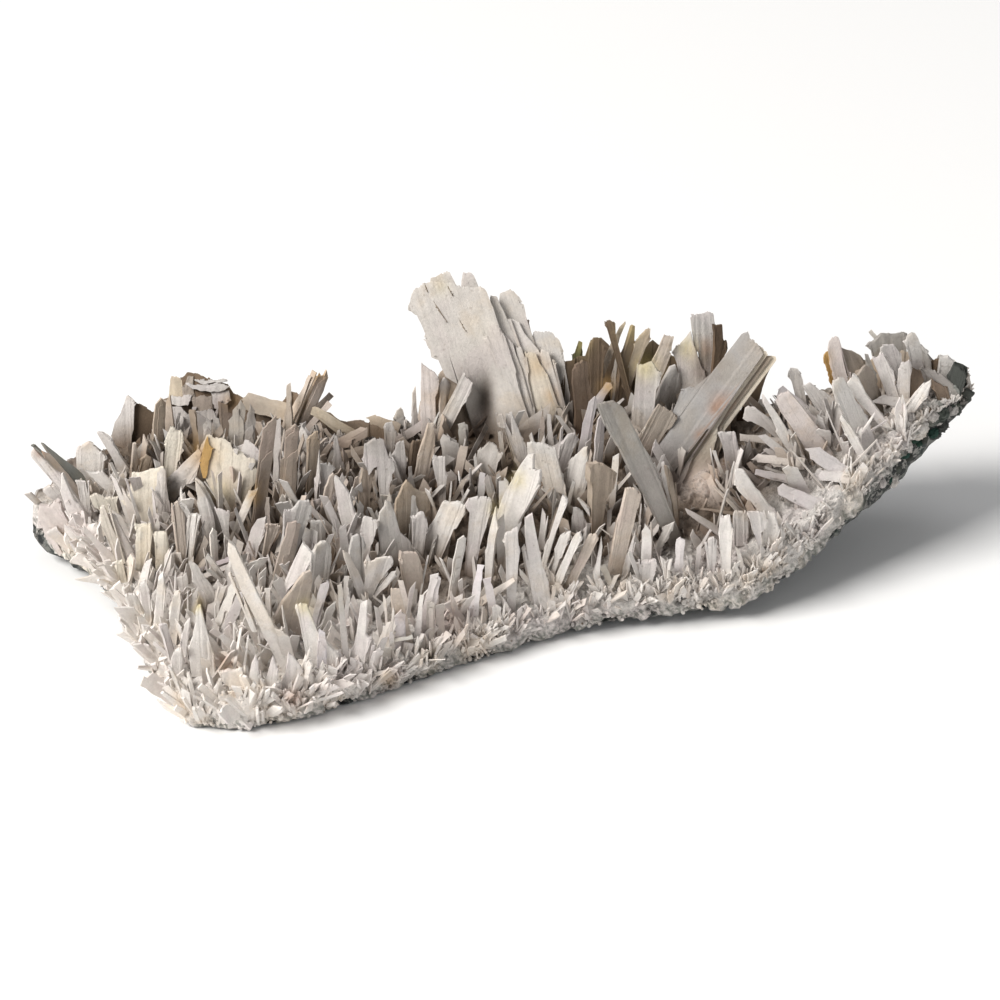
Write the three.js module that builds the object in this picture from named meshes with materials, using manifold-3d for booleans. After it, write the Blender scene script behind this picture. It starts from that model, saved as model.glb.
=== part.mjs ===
// A bladed quartz pseudomorph specimen on its slab of host rock.
// Millimetres, +Z up, +X along the specimen, +Y to its back. The origin lies in the flat face it rests on.
import * as THREE from "three";
import { mergeVertices } from "three/addons/utils/BufferGeometryUtils.js";
import Module from "manifold-3d";

const wasm = await Module();
wasm.setup();

const { degToRad, lerp, inverseLerp, clamp, smoothstep } = THREE.MathUtils;

// Driving dimensions.
const ROCK_AT_RIM = { left: 9, middle: 5, right: 14 }; // thickness of the host rock's broken rim
const CRUST_THICKNESS = 24; // the most quartz between the rock and the blades
const SEAM = 0.4; // gap between the rock and the crust that grew on it
const ROOT = 7; // how deep a blade's foot sits in the crust
const STANDOFF = 7; // height above the crust at which a blade comes into sight between its neighbours
const CREST_AT = 0.8; // the crust's highest line, as a share of its depth from front to back
const LUMP_HEIGHT = 4; // relief of the crust and of the rock's broken rim
const FRONT_LEAN = degToRad(-4); // blades at the front edge lean a little forwards
const BACK_LEAN = degToRad(20); // and those at the back edge lean backwards
const TILE = 0.16; // a blade's thickness as a share of its width
const THINNEST = 1.5;
const THICKEST = 4;

// The display side. Blades are laid out as they are seen from a point in front of the specimen and above it:
// "across" is measured along X, and "up" along the display plane, which leans back by DISPLAY_TILT.
const DISPLAY_TILT = degToRad(30);
const EYE_DISTANCE = 2400;
const AIM_UP = 56;
const ACROSS = new THREE.Vector3(1, 0, 0);
const UP = new THREE.Vector3(0, Math.sin(DISPLAY_TILT), Math.cos(DISPLAY_TILT));
const TOWARDS_EYE = new THREE.Vector3(0, -Math.cos(DISPLAY_TILT), Math.sin(DISPLAY_TILT));
const EYE = UP.clone().multiplyScalar(AIM_UP).addScaledVector(TOWARDS_EYE, EYE_DISTANCE);

// The slab's outline and heights at stations along X: front edge [y, z of its underside], top of the front lip,
// crest, back edge [y, z of its underside], top of the back lip.
const STATIONS = [
  { x: -218, front: [53, 18], lip: 27, crest: 28, back: [62, 18], rear: 26 },
  { x: -208, front: [46, 12], lip: 30, crest: 34, back: [80, 11], rear: 29 },
  { x: -193, front: [33, 9], lip: 31, crest: 41, back: [94, 6], rear: 32 },
  { x: -174, front: [3, 7], lip: 25, crest: 43, back: [103, 2], rear: 34 },
  { x: -158, front: [-42, 2], lip: 18, crest: 43, back: [107, 0], rear: 34 },
  { x: -148, front: [-66, 0], lip: 15, crest: 42, back: [110, 0], rear: 33 },
  { x: -137, front: [-89, 0], lip: 13, crest: 42, back: [112, 0], rear: 32 },
  { x: -112, front: [-91, 0], lip: 14, crest: 42, back: [113, 0], rear: 32 },
  { x: -88, front: [-82, 0], lip: 15, crest: 43, back: [111, 0], rear: 32 },
  { x: -58, front: [-64, 0], lip: 15, crest: 46, back: [107, 0], rear: 33 },
  { x: -25, front: [-41, 0], lip: 15, crest: 50, back: [102, 0], rear: 35 },
  { x: 0, front: [-26, 0], lip: 14, crest: 53, back: [100, 0], rear: 37 },
  { x: 30, front: [-10, 2], lip: 17, crest: 56, back: [101, 0], rear: 38 },
  { x: 60, front: [-4, 5], lip: 20, crest: 58, back: [103, 0], rear: 40 },
  { x: 90, front: [1, 6], lip: 21, crest: 59, back: [104, 0], rear: 42 },
  { x: 115, front: [5, 9], lip: 26, crest: 60, back: [104, 4], rear: 44 },
  { x: 136, front: [18, 17], lip: 38, crest: 64, back: [105, 14], rear: 48 },
  { x: 157, front: [36, 27], lip: 50, crest: 69, back: [108, 26], rear: 54 },
  { x: 178, front: [52, 37], lip: 60, crest: 75, back: [111, 39], rear: 62 },
  { x: 198, front: [70, 50], lip: 70, crest: 81, back: [113, 53], rear: 69 },
  { x: 212, front: [81, 61], lip: 77, crest: 85, back: [111, 63], rear: 75 },
  { x: 221, front: [88, 71], lip: 81, crest: 84, back: [101, 72], rear: 79 },
];

// Blades of the display side: foot across and up, tip across and up, width, turn of the face in degrees
// (0 faces the eye, more than 0 turns to the right), and where the tip peaks across the width (-0.5 to 0.5).
const BLADES = {
  leftHorn: [
    [-188, 63, -212, 82, 6, 45, 0.3],
    [-196, 57, -216, 77, 9, 15, 0.2],
  ],
  leftHump: [
    [-188, 66, -190, 84, 12, 8, 0.1],
    [-176, 62, -185, 87, 5, 30, -0.4],
    [-174, 74, -174, 103, 9, -38, 0.4],
    [-164, 78, -165, 101, 15, 42, -0.5],
    [-193, 50, -193, 64, 5, 0, 0.2],
    [-209, 54, -208, 63, 7, 10, 0],
    [-180, 44, -177, 57, 6, 10, 0.3],
  ],
  hollow: [
    [-160, 46, -162, 71, 17, 4, 0.5],
    [-149, 66, -150, 90, 7, 12, -0.3],
    [-150, 60, -139, 78, 12, 0, 0.4],
    [-158, 78, -156, 103, 6, 40, 0],
    [-152, 92, -153, 104, 7, -30, 0.3],
    [-146, 95, -148, 113, 6, 20, -0.5],
    [-163, 72, -158, 82, 7, 35, 0.3],
    [-126, 84, -127, 102, 6, 10, -0.4],
    [-121, 80, -122, 103, 7, 0, -0.3],
    [-115, 80, -116, 99, 5, 25, 0.3],
  ],
  creamTongue: [
    [-121, 47, -126, 85, 20, 5, -0.4],
    [-114, 60, -116, 79, 8, 15, -0.3],
    [-126, 34, -139, 66, 8, 0, -0.3],
    [-123, 30, -130, 53, 7, 10, -0.4],
    [-111, 48, -105, 94, 8, 48, 0],
    [-118, 36, -116, 50, 7, 30, 0],
  ],
  frontLeft: [
    [-100, -22, -122, 36, 11, 0, -0.3],
    [-163, 27, -163, 45, 7, 5, 0],
    [-155, 26, -155, 42, 7, 8, 0.2],
    [-130, 9, -141, 28, 8, -10, -0.5],
    [-139, -20, -138, 8, 8, 15, 0.2],
    [-130, -3, -122, 17, 5, -10, 0],
    [-126, -4, -118, 14, 5, 10, 0],
    [-125, -30, -123, -14, 9, 0, 0],
    [-97, -32, -92, -20, 5, 0, 0.3],
    [-146, -8, -149, 16, 5, 20, 0],
    [-158, -10, -160, 20, 5, 0, 0],
    [-166, 2, -169, 14, 6, 0, 0],
    [-153, -20, -157, 5, 5, 0, 0],
    [-142, -32, -146, -6, 5, 10, 0],
  ],
  brownWall: [
    [-98, 52, -97, 92, 10, 30, 0.3],
    [-91, 58, -92, 92, 5, 0, 0.2],
    [-87, 60, -86, 87, 5, 35, 0.3],
    [-97, 86, -97, 110, 6, 0, 0.2],
    [-93, 98, -85, 115, 7, -25, 0],
    [-88, 96, -80, 115, 6, 40, 0.2],
    [-50, 78, -51, 93, 6, 5, 0.2],
    [-107, 34, -107, 58, 5, 5, 0],
    [-112, 27, -106, 47, 13, 8, 0.1],
    [-101, 20, -94, 46, 9, 28, 0],
  ],
  centreLeft: [
    [-54, 55, -57, 84, 11, 8, 0],
    [-66, 54, -65, 73, 6, 35, 0],
    [-69, 42, -75, 68, 8, 0, -0.4],
    [-82, 48, -77, 70, 6, 25, 0.3],
    [-90, 40, -90, 57, 10, 0, 0.1],
    [-99, 8, -91, 37, 8, -15, 0.2],
    [-94, 2, -91, 24, 9, 35, 0.3],
    [-82, 20, -82, 46, 9, 20, 0.3],
    [-76, 30, -78, 47, 6, 0, 0.3],
    [-86, -22, -90, 8, 7, 0, 0],
    [-82, -22, -82, -2, 8, 10, -0.4],
    [-65, -29, -61, 10, 9, 5, 0],
    [-56, 10, -56, 30, 12, 0, 0.4],
    [-60, 30, -60, 49, 7, 0, -0.2],
    [-50, 30, -52, 56, 9, 10, -0.3],
    [-42, 38, -42, 61, 8, 15, 0],
    [-37, 34, -37, 50, 6, 0, 0],
    [-42, -2, -43, 32, 8, 25, 0],
    [-48, 2, -48, 16, 6, 0, 0],
    [-46, -8, -46, 5, 5, 10, 0],
    [-35, -2, -29, 22, 5, 0, 0],
    [-67, 28, -66, 40, 6, 0, 0],
    [-80, -2, -77, 9, 6, 20, 0.3],
    [-85, 0, -80, 19, 5, -10, 0.3],
  ],
  centre: [
    [-28, 31, -21, 55, 13, 0, 0.1],
    [-15, 20, -9, 57, 9, 5, 0.1],
    [-7, 10, -2, 54, 5, 0, 0.2],
    [2, 34, 17, 74, 11, -5, 0.2],
    [26, 50, 17, 82, 13, 0, 0.2],
    [-5, 62, -5, 82, 10, 0, 0.1],
    [-9, 54, -8, 69, 5, 0, 0],
    [-21, 53, -20, 78, 6, 15, 0],
    [-27, 55, -28, 77, 7, 0, 0.2],
    [-14, 56, -13, 80, 6, 10, -0.2],
    [-41, 60, -41, 84, 6, 45, 0],
    [-36, 58, -33, 91, 6, 25, 0.2],
    [-47, 66, -46, 86, 6, 0, 0],
    [-27, 80, -16, 113, 9, 0, 0.2],
    [-17, 80, -17, 92, 5, 0, 0],
    [-22, 74, -24, 87, 9, 0, -0.2],
    [-32, 86, -35, 119, 9, 5, -0.4],
    [-45, 89, -45, 99, 6, 0, 0],
    [-26, 88, -25, 113, 7, 50, 0],
    [8, 70, 2, 97, 9, 0, -0.3],
    [-22, 12, -18, 40, 5, 40, 0],
    [-12, 6, -9, 26, 5, 0, 0],
    [6, 2, 5, 40, 6, 10, 0],
    [16, 6, 14, 42, 9, 0, -0.1],
  ],
  centreRight: [
    [28, 70, 33, 87, 7, 0, 0.3],
    [34, 48, 38, 80, 9, 0, 0.3],
    [38, 76, 43, 104, 6, 10, 0.2],
    [76, 40, 50, 103, 11, -5, -0.3],
    [60, 96, 57, 99, 6, 0, 0],
    [66, 78, 68, 120, 10, 8, 0.1],
    [72, 94, 80, 120, 9, 25, 0.1],
    [67, 76, 77, 98, 12, 0, 0.3],
    [46, 42, 47, 72, 12, 38, 0.1],
    [58, 30, 61, 62, 9, 8, 0.2],
    [67, 30, 66, 58, 5, 20, 0],
    [77, 30, 78, 48, 7, 0, 0],
    [34, 20, 43, 43, 6, -10, 0.3],
    [27, 12, 32, 42, 9, 0, 0.2],
    [20, 14, 28, 59, 6, -10, 0.2],
    [41, 40, 36, 58, 7, 0, -0.3],
    [45, 70, 46, 96, 5, 40, 0],
    [70, 20, 68, 31, 8, 0, 0],
    [102, 12, 104, 50, 5, 0, 0],
    [108, 14, 106, 36, 5, 15, 0],
  ],
  behindFan: [
    [34, 108, 38, 135, 4, 20, 0],
    [45, 98, 45, 132, 10, 20, 0.1],
    [54, 112, 50, 139, 4, 0, 0],
    [57, 104, 61, 137, 5, 28, 0.3],
    [61, 108, 68, 134, 7, 15, 0.1],
    [71, 110, 73, 131, 7, 25, 0],
    [74, 108, 78, 131, 7, 0, 0.2],
    [40, 94, 38, 121, 12, 30, 0],
    [95, 96, 94, 142, 10, 0, 0],
    [100, 108, 101, 137, 4, 40, 0],
    [103, 104, 103, 129, 4, 45, 0],
    [84, 116, 87, 135, 5, 10, 0],
    [90, 78, 86, 128, 13, 4, 0],
    [118, 106, 125, 122, 7, 20, 0.3],
    [127, 98, 128, 112, 6, 30, 0],
  ],
  rightSlope: [
    [117, 48, 110, 70, 10, 0, -0.1],
    [126, 46, 112, 69, 8, -15, 0],
    [106, 68, 104, 89, 7, 15, -0.2],
    [127, 91, 110, 97, 6, 15, 0],
    [135, 80, 121, 104, 6, 0, 0.3],
    [143, 82, 130, 104, 13, 0, 0.2],
    [143, 95, 135, 116, 5, 0, 0.2],
    [157, 84, 145, 109, 10, 0, 0],
    [166, 82, 156, 111, 11, 22, -0.2],
    [156, 70, 141, 80, 7, 0, 0],
    [148, 52, 127, 62, 9, 10, 0.1],
    [121, 34, 121, 50, 9, 0, 0],
    [126, 34, 128, 48, 5, 35, 0],
    [112, 24, 111, 48, 5, 0, 0],
    [137, 100, 128, 107, 5, 0, 0],
  ],
  rightWing: [
    [157, 108, 153, 131, 6, 5, 0.2],
    [163, 108, 160, 126, 12, 50, -0.4],
    [172, 99, 167, 121, 11, 15, 0.1],
    [178, 98, 174, 125, 5, 10, 0],
    [183, 101, 177, 127, 6, 15, 0],
    [186, 101, 186, 120, 6, 0, 0],
    [181, 116, 178, 132, 12, 10, 0],
    [190, 112, 188, 134, 7, 10, 0.2],
    [194, 112, 195, 129, 5, 25, 0],
    [198, 108, 197, 124, 5, 10, 0],
    [203, 106, 204, 123, 6, 0, -0.3],
    [211, 102, 214, 116, 6, 20, 0],
    [191, 95, 197, 112, 7, 0, 0.2],
    [190, 99, 172, 102, 6, 10, 0],
    [173, 120, 172, 131, 7, 20, 0],
  ],
};

// The book of leaning sheets at the middle, front to back, and the great blade to its right. Each sheet is an outline
// on the display plane, and the sheets of a stack overlap enough to be one crystal.
const FAN_SHEETS = [
  [[-8, 76], [-12, 110], [-14, 132], [-10, 139], [-3, 137], [0, 135], [5, 120], [14, 94], [20, 76]],
  [[-16, 76], [-26, 110], [-33, 123], [-42, 146], [-40, 153], [-20, 157], [-8, 154], [-5, 149], [0, 136], [12, 100], [19, 76]],
  [[-14, 76], [-34, 140], [-32, 158], [-23, 161], [-20, 157], [-8, 148], [8, 116], [20, 76]],
  [[-8, 76], [-20, 150], [-18, 160], [-12, 160.5], [-9, 155], [0, 150], [3, 142], [16, 106], [24, 76]],
  [[2, 76], [-2, 130], [0, 151], [5, 153.5], [9, 149], [15, 131], [20, 110], [28, 76]],
  [[6, 76], [4, 139], [8, 139], [17, 124], [22, 105], [30, 76]],
  [[10, 76], [14, 130], [20, 124], [26, 100], [32, 76]],
  [[12, 76], [17, 134], [23, 133], [27, 128], [29, 120], [36, 84], [34, 76]],
];
const GREAT_BLADE_SHEETS = [
  [[78, 58], [74, 76], [84, 96], [104, 126], [112, 133], [122, 122], [122, 117], [101, 92], [92, 78], [90, 58]],
  [[82, 58], [80, 84], [112, 128], [124, 120], [124, 117], [103, 91], [95, 58]],
  [[86, 58], [88, 84], [116, 126], [126, 119], [106, 92], [98, 58]],
];
const SHEET_PITCH = 3;
const SHEET_THICKNESS = 3.4;

// Blades with no place of their own: short ones that fill the ground between the others, and broad ones that clothe
// the back. Lengths and widths in millimetres; the lean is in degrees towards the back.
const FILL_SEED = 41;
const FILL_SPACING = 20;
const FILL_MARGIN = 18; // from the specimen's ends
const FILLS = [
  { count: 8, depth: [0.1, 0.7], length: [12, 20], width: [7, 11], lean: [-20, 5] },
  { count: 20, depth: [0.84, 1], length: [16, 30], width: [8, 14], lean: [15, 65] },
];

// Where the slab's sections have their points, as shares of the depth.
const CRUST_SHARES = [0.03, 0.17, 0.36, 0.55, 0.74, 0.88];
const SEAM_SHARES = [1, 0.75, 0.5, 0.25, 0];
const UNDERSIDE_SHARES = [0.2, 0.5, 0.8];
const CLEAR = 60; // beyond the reach of any blade's foot

// A repeatable random draw from 0 to 1.
function seeded(seed) {
  let state = seed;
  return () => {
    state = (Math.imul(state, 1664525) + 1013904223) >>> 0;
    return state / 4294967296;
  };
}

// A smooth lumpy field from -1 to 1 over the plan, about 25 mm from lump to lump.
function lumps(x, y) {
  return (
    0.5 * Math.sin(x * 0.26 + 1.7 * Math.sin(y * 0.11)) +
    0.35 * Math.sin(y * 0.33 + 2.1 * Math.sin(x * 0.09) + 0.8) +
    0.15 * Math.sin((x + y) * 0.71)
  );
}

// The slab's section at any x, between the stations on either side.
function sectionAt(x) {
  const after = STATIONS.findIndex((s) => s.x > x);
  const i = after < 0 ? STATIONS.length - 1 : Math.max(after, 1);
  const [a, b] = [STATIONS[i - 1], STATIONS[i]];
  const t = clamp((x - a.x) / (b.x - a.x), 0, 1);
  return {
    x,
    front: [lerp(a.front[0], b.front[0], t), lerp(a.front[1], b.front[1], t)],
    back: [lerp(a.back[0], b.back[0], t), lerp(a.back[1], b.back[1], t)],
    lip: lerp(a.lip, b.lip, t),
    crest: lerp(a.crest, b.crest, t),
    rear: lerp(a.rear, b.rear, t),
  };
}

// Heights at a share of the depth, 0 at the front edge and 1 at the back: the crust's top, the slab's underside, flat
// between its bevelled front and back, and the seam where the rock ends and the crust begins.
function topAt(section, share) {
  const rise = share / CREST_AT;
  if (rise < 1) return lerp(section.lip, section.crest, rise * (1.25 - 0.25 * rise));
  const fall = (share - CREST_AT) / (1 - CREST_AT);
  return lerp(section.crest, section.rear, fall * fall);
}
function undersideAt(section, share) {
  const flat = Math.max(0, 1.15 * Math.min(section.front[1], section.back[1]) - 8);
  const edge = share < 0.5 ? section.front[1] : section.back[1];
  return lerp(edge, flat, clamp(5 * Math.min(share, 1 - share), 0, 1));
}
function seamAt(section, share) {
  const end = section.x < 0 ? ROCK_AT_RIM.left : ROCK_AT_RIM.right;
  const rim = lerp(ROCK_AT_RIM.middle, end, smoothstep(Math.abs(section.x), 110, 190));
  const top = topAt(section, share);
  return Math.min(Math.max(undersideAt(section, share) + rim, top - CRUST_THICKNESS), top - 3);
}
const depthAt = (section, share) => lerp(section.front[0], section.back[0], share);

// Whether a point is in the crust, or within a standoff above it.
function inCrust(point, standoff) {
  if (point.x < STATIONS[0].x || point.x > STATIONS.at(-1).x) return false;
  const section = sectionAt(point.x);
  const share = (point.y - section.front[0]) / (section.back[0] - section.front[0]);
  if (share < 0 || share > 1) return false;
  return point.z > undersideAt(section, share) && point.z < topAt(section, share) + standoff;
}

function sightLine(across, up) {
  const through = ACROSS.clone().multiplyScalar(across).addScaledVector(UP, up);
  return new THREE.Ray(EYE, through.sub(EYE).normalize());
}

// The first point of a sight line within the standoff of the crust, or null where the line passes over it.
function firstSight(across, up, standoff) {
  const line = sightLine(across, up);
  const stride = 4;
  const at = new THREE.Vector3();
  for (let d = EYE_DISTANCE - 280; d < EYE_DISTANCE + 280; d += stride) {
    if (!inCrust(line.at(d, at), standoff)) continue;
    let [out, hit] = [d - stride, d];
    for (let k = 0; k < 5; k++) {
      const middle = (out + hit) / 2;
      if (inCrust(line.at(middle, at), standoff)) hit = middle;
      else out = middle;
    }
    return line.at(hit, new THREE.Vector3());
  }
  return null;
}

// The upright plane through a blade's foot in which the blade leans left or right.
function growthPlane(foot) {
  const section = sectionAt(foot.x);
  const share = (foot.y - section.front[0]) / (section.back[0] - section.front[0]);
  const lean = lerp(FRONT_LEAN, BACK_LEAN, clamp(share, 0, 1));
  const normal = new THREE.Vector3(0, -Math.cos(lean), Math.sin(lean));
  return new THREE.Plane().setFromNormalAndCoplanarPoint(normal, foot);
}

// A closed mesh as a manifold-3d solid, and back.
function solidOf(geometry) {
  const bare = geometry.index ? geometry.toNonIndexed() : geometry.clone();
  bare.deleteAttribute("normal");
  bare.deleteAttribute("uv");
  const merged = mergeVertices(bare, 1e-3);
  const vertProperties = merged.attributes.position.array;
  const triVerts = new Uint32Array(merged.index.array);
  return new wasm.Manifold(new wasm.Mesh({ numProp: 3, vertProperties, triVerts }));
}

function geometryOf(solid) {
  const { vertProperties, triVerts } = solid.getMesh();
  const geometry = new THREE.BufferGeometry();
  geometry.setAttribute("position", new THREE.BufferAttribute(vertProperties, 3));
  return geometry.setIndex(new THREE.BufferAttribute(triVerts, 1));
}

// A closed skin over rings of points that run anticlockwise seen from +X, with a fan of triangles over each end.
function loft(rings) {
  const count = rings[0].length;
  const points = rings.flat();
  const faces = [];
  for (let i = 0; i < rings.length - 1; i++) {
    for (let j = 0; j < count; j++) {
      const [a, b] = [i * count + j, i * count + ((j + 1) % count)];
      faces.push(a, b, a + count, b, b + count, a + count);
    }
  }
  for (const ring of [0, rings.length - 1]) {
    const middle = new THREE.Vector3();
    rings[ring].forEach((p) => middle.addScaledVector(p, 1 / count));
    points.push(middle);
    for (let j = 0; j < count; j++) {
      const [a, b] = [ring * count + j, ring * count + ((j + 1) % count)];
      faces.push(...(ring ? [a, b, points.length - 1] : [b, a, points.length - 1]));
    }
  }
  return new THREE.BufferGeometry().setFromPoints(points).setIndex(faces);
}

// The quartz crust's ring at x: up the front lip, over the top, down the back and under, a little below the seam.
function crustRing(x) {
  const section = sectionAt(x);
  const ring = [];
  const add = (share, outwards, z, relief) => {
    const lump = relief * LUMP_HEIGHT * lumps(x, depthAt(section, share) + z);
    ring.push(new THREE.Vector3(x, depthAt(section, share) + outwards - lump * 0.5, z + lump));
  };
  add(0, 0, seamAt(section, 0) - 2, 0);
  add(0, -2, lerp(seamAt(section, 0), section.lip, 0.5), 0.6);
  for (const share of CRUST_SHARES) add(share, 0, topAt(section, share), 1);
  add(1, -1, section.rear, 0.8);
  add(1, 1.5, lerp(seamAt(section, 1), section.rear, 0.5), 0.6);
  add(1, 0, seamAt(section, 1) - 2, 0);
  return ring.reverse();
}

// The host rock's ring at x: down its broken rim at the front, along the underside, up the back and over the seam.
function rockRing(x) {
  const section = sectionAt(x);
  const [yFront, yBack] = [section.front[0], section.back[0]];
  const rim = 1.5 * lumps(x * 1.7, yFront);
  const ring = [[yFront - 1.5 - rim * 0.5, lerp(section.front[1], seamAt(section, 0), 0.5)]];
  ring.push([yFront + 2 + rim, section.front[1]]);
  for (const share of UNDERSIDE_SHARES) ring.push([depthAt(section, share), undersideAt(section, share)]);
  ring.push([yBack - 2 - rim, section.back[1]]);
  ring.push([yBack + 1.5 + rim * 0.5, lerp(section.back[1], seamAt(section, 1), 0.5)]);
  for (const share of SEAM_SHARES) ring.push([depthAt(section, share), seamAt(section, share)]);
  return ring.map(([y, z]) => new THREE.Vector3(x, y, z));
}

// Everything below the crust, with the seam's gap: it runs out past the rim and down under the rock.
function belowCrust() {
  const { x: left } = STATIONS[0];
  const { x: right } = STATIONS.at(-1);
  const rings = [left - CLEAR, ...STATIONS.map((s) => s.x), right + CLEAR].map((x) => {
    const at = clamp(x, left, right);
    const section = sectionAt(at);
    const ring = SEAM_SHARES.map((share) => [depthAt(section, share), seamAt(section, share) + SEAM]);
    const [yFront, yBack] = [section.front[0] - CLEAR, section.back[0] + CLEAR];
    const outside = [[yFront, ring.at(-1)[1]], [yFront, -CLEAR], [yBack, -CLEAR], [yBack, ring[0][1]]];
    return [...ring, ...outside].map(([y, z]) => new THREE.Vector3(x, y, z));
  });
  return loft(rings);
}

// A blade's outline: it widens from the foot, and its tip rises to a peak.
function bladeOutline(width, length, peak) {
  const drop = 0.55 * width;
  const [left, right] = [-0.5, 0.5];
  const shoulder = (side) => length - drop * Math.abs(side - peak);
  const shape = new THREE.Shape();
  shape.moveTo(left * width * 0.8, -ROOT - STANDOFF);
  shape.lineTo(right * width * 0.8, -ROOT - STANDOFF);
  shape.lineTo(right * width, shoulder(right));
  if (Math.abs(peak) < 0.45) shape.lineTo(peak * width, length);
  shape.lineTo(left * width, shoulder(left));
  return shape.closePath();
}

// A flat prism of an outline: its foot at a point, its length along an axis and its face turned from the eye.
function slabOf(outline, thickness, foot, axis, turn) {
  const towards = TOWARDS_EYE.clone().projectOnPlane(axis).normalize().applyAxisAngle(axis, degToRad(turn));
  const wide = new THREE.Vector3().crossVectors(axis, towards);
  const geometry = new THREE.ExtrudeGeometry(outline, { depth: thickness, bevelEnabled: false });
  geometry.translate(0, 0, -thickness / 2);
  return geometry.applyMatrix4(new THREE.Matrix4().makeBasis(wide, axis, towards).setPosition(foot));
}

const bladeThickness = (width) => clamp(TILE * width + 0.9, THINNEST, THICKEST);

// A blade of the display side. One whose foot is hidden behind the crest is carried down its own line to the crust.
function displayBlade([footAcross, footUp, tipAcross, tipUp, width, turn, peak]) {
  const seen = new THREE.Vector2(tipAcross - footAcross, tipUp - footUp).normalize();
  let foot = null;
  for (let hidden = 0; !foot && hidden <= 60; hidden += 3)
    foot = firstSight(footAcross - hidden * seen.x, footUp - hidden * seen.y, STANDOFF);
  const tip = sightLine(tipAcross, tipUp).intersectPlane(growthPlane(foot), new THREE.Vector3());
  const length = tip.distanceTo(foot);
  const axis = tip.sub(foot).normalize();
  return slabOf(bladeOutline(width, length, peak), bladeThickness(width), foot, axis, turn);
}

// A stack of sheets that stand one behind the other on the crust.
function sheetStack(sheets, footAcross, footUp) {
  const foot = firstSight(footAcross, footUp, 0);
  return sheets.map((outline, i) => {
    const plane = new THREE.Plane().setFromNormalAndCoplanarPoint(TOWARDS_EYE, foot);
    const corners = outline.map(([across, up]) => sightLine(across, up).intersectPlane(plane, new THREE.Vector3()));
    const shape = new THREE.Shape(corners.map((p) => new THREE.Vector2(p.x, p.dot(UP))));
    const geometry = new THREE.ExtrudeGeometry(shape, { depth: SHEET_THICKNESS, bevelEnabled: false });
    const back = foot.dot(TOWARDS_EYE) - i * SHEET_PITCH;
    const place = new THREE.Matrix4().makeBasis(ACROSS, UP, TOWARDS_EYE);
    return geometry.applyMatrix4(place.setPosition(TOWARDS_EYE.clone().multiplyScalar(back)));
  });
}

// The fill: blades at random places, each clear of the fill's other feet.
function fillBlades() {
  const draw = seeded(FILL_SEED);
  const between = ([low, high]) => lerp(low, high, draw());
  const feet = [];
  const made = [];
  for (const { count, depth, length, width, lean } of FILLS) {
    for (let placed = 0, tries = 0; placed < count && tries < 400; tries++) {
      const section = sectionAt(between([STATIONS[0].x + FILL_MARGIN, STATIONS.at(-1).x - FILL_MARGIN]));
      const share = between(depth);
      const foot = new THREE.Vector3(section.x, depthAt(section, share), topAt(section, share));
      if (feet.some((p) => p.distanceTo(foot) < FILL_SPACING)) continue;
      feet.push(foot);
      placed++;
      const backwards = degToRad(lerp(lean[0], lean[1], inverseLerp(depth[0], depth[1], share)));
      const axis = new THREE.Vector3(0, Math.sin(backwards), Math.cos(backwards));
      axis.applyAxisAngle(new THREE.Vector3(0, 1, 0), between([-0.6, 0.6]));
      const wide = between(width);
      const outline = bladeOutline(wide, between(length), between([-0.45, 0.45]));
      made.push(slabOf(outline, bladeThickness(wide), foot, axis, between([-60, 60])));
    }
  }
  return made;
}

function quartzGeometry() {
  const crust = solidOf(loft(STATIONS.map((s) => crustRing(s.x))));
  const blades = Object.values(BLADES).flat().map(displayBlade);
  const stacks = [...sheetStack(FAN_SHEETS, 8, 82), ...sheetStack(GREAT_BLADE_SHEETS, 84, 64)];
  const grown = [...blades, ...stacks, ...fillBlades()].map(solidOf);
  const whole = wasm.Manifold.union([crust, ...grown]).subtract(solidOf(belowCrust()));
  const pieces = whole.decompose().sort((a, b) => b.volume() - a.volume());
  return geometryOf(pieces[0]);
}

const rockGeometry = () => loft(STATIONS.map((s) => rockRing(s.x)));

function named(name, geometry, material) {
  const mesh = new THREE.Mesh(geometry, material);
  mesh.name = name;
  return mesh;
}

const quartz = new THREE.MeshStandardMaterial({ color: 0xd6cdc3, roughness: 0.85, metalness: 0 });
const rock = new THREE.MeshStandardMaterial({ color: 0x4c534e, roughness: 0.9, metalness: 0 });

const specimen = new THREE.Group();
specimen.add(named("quartz_blades", quartzGeometry(), quartz));
specimen.add(named("host_rock", rockGeometry(), rock));

export default specimen;
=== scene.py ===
"""Dresses a quartz pseudomorph specimen: granular crust, laminated blades, fan of sheets and host rock."""

import math

import bpy
import numpy as np
from mathutils import Matrix, Vector, noise


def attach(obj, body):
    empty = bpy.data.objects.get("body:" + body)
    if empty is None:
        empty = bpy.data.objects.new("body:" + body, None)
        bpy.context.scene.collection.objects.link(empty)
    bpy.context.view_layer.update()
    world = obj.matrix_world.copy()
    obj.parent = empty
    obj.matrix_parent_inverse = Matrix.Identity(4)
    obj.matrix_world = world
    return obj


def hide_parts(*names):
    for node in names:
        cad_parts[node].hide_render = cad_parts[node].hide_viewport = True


bl_info = {
    "name": "Quartz pseudomorph specimen",
    "version": (1, 0, 0),
    "blender": (4, 5, 0),
    "location": "View3D > Sidebar > Specimen",
    "description": "Grows the quartz crust, its blades and the fan over the packed specimen",
    "category": "Object",
}

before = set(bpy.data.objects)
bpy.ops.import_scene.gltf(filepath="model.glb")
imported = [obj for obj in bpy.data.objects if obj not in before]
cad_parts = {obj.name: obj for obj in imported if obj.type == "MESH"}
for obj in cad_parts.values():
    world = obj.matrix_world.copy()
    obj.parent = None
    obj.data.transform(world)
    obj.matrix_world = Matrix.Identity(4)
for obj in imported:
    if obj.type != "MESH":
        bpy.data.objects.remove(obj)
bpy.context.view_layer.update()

MM = 0.001

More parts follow.
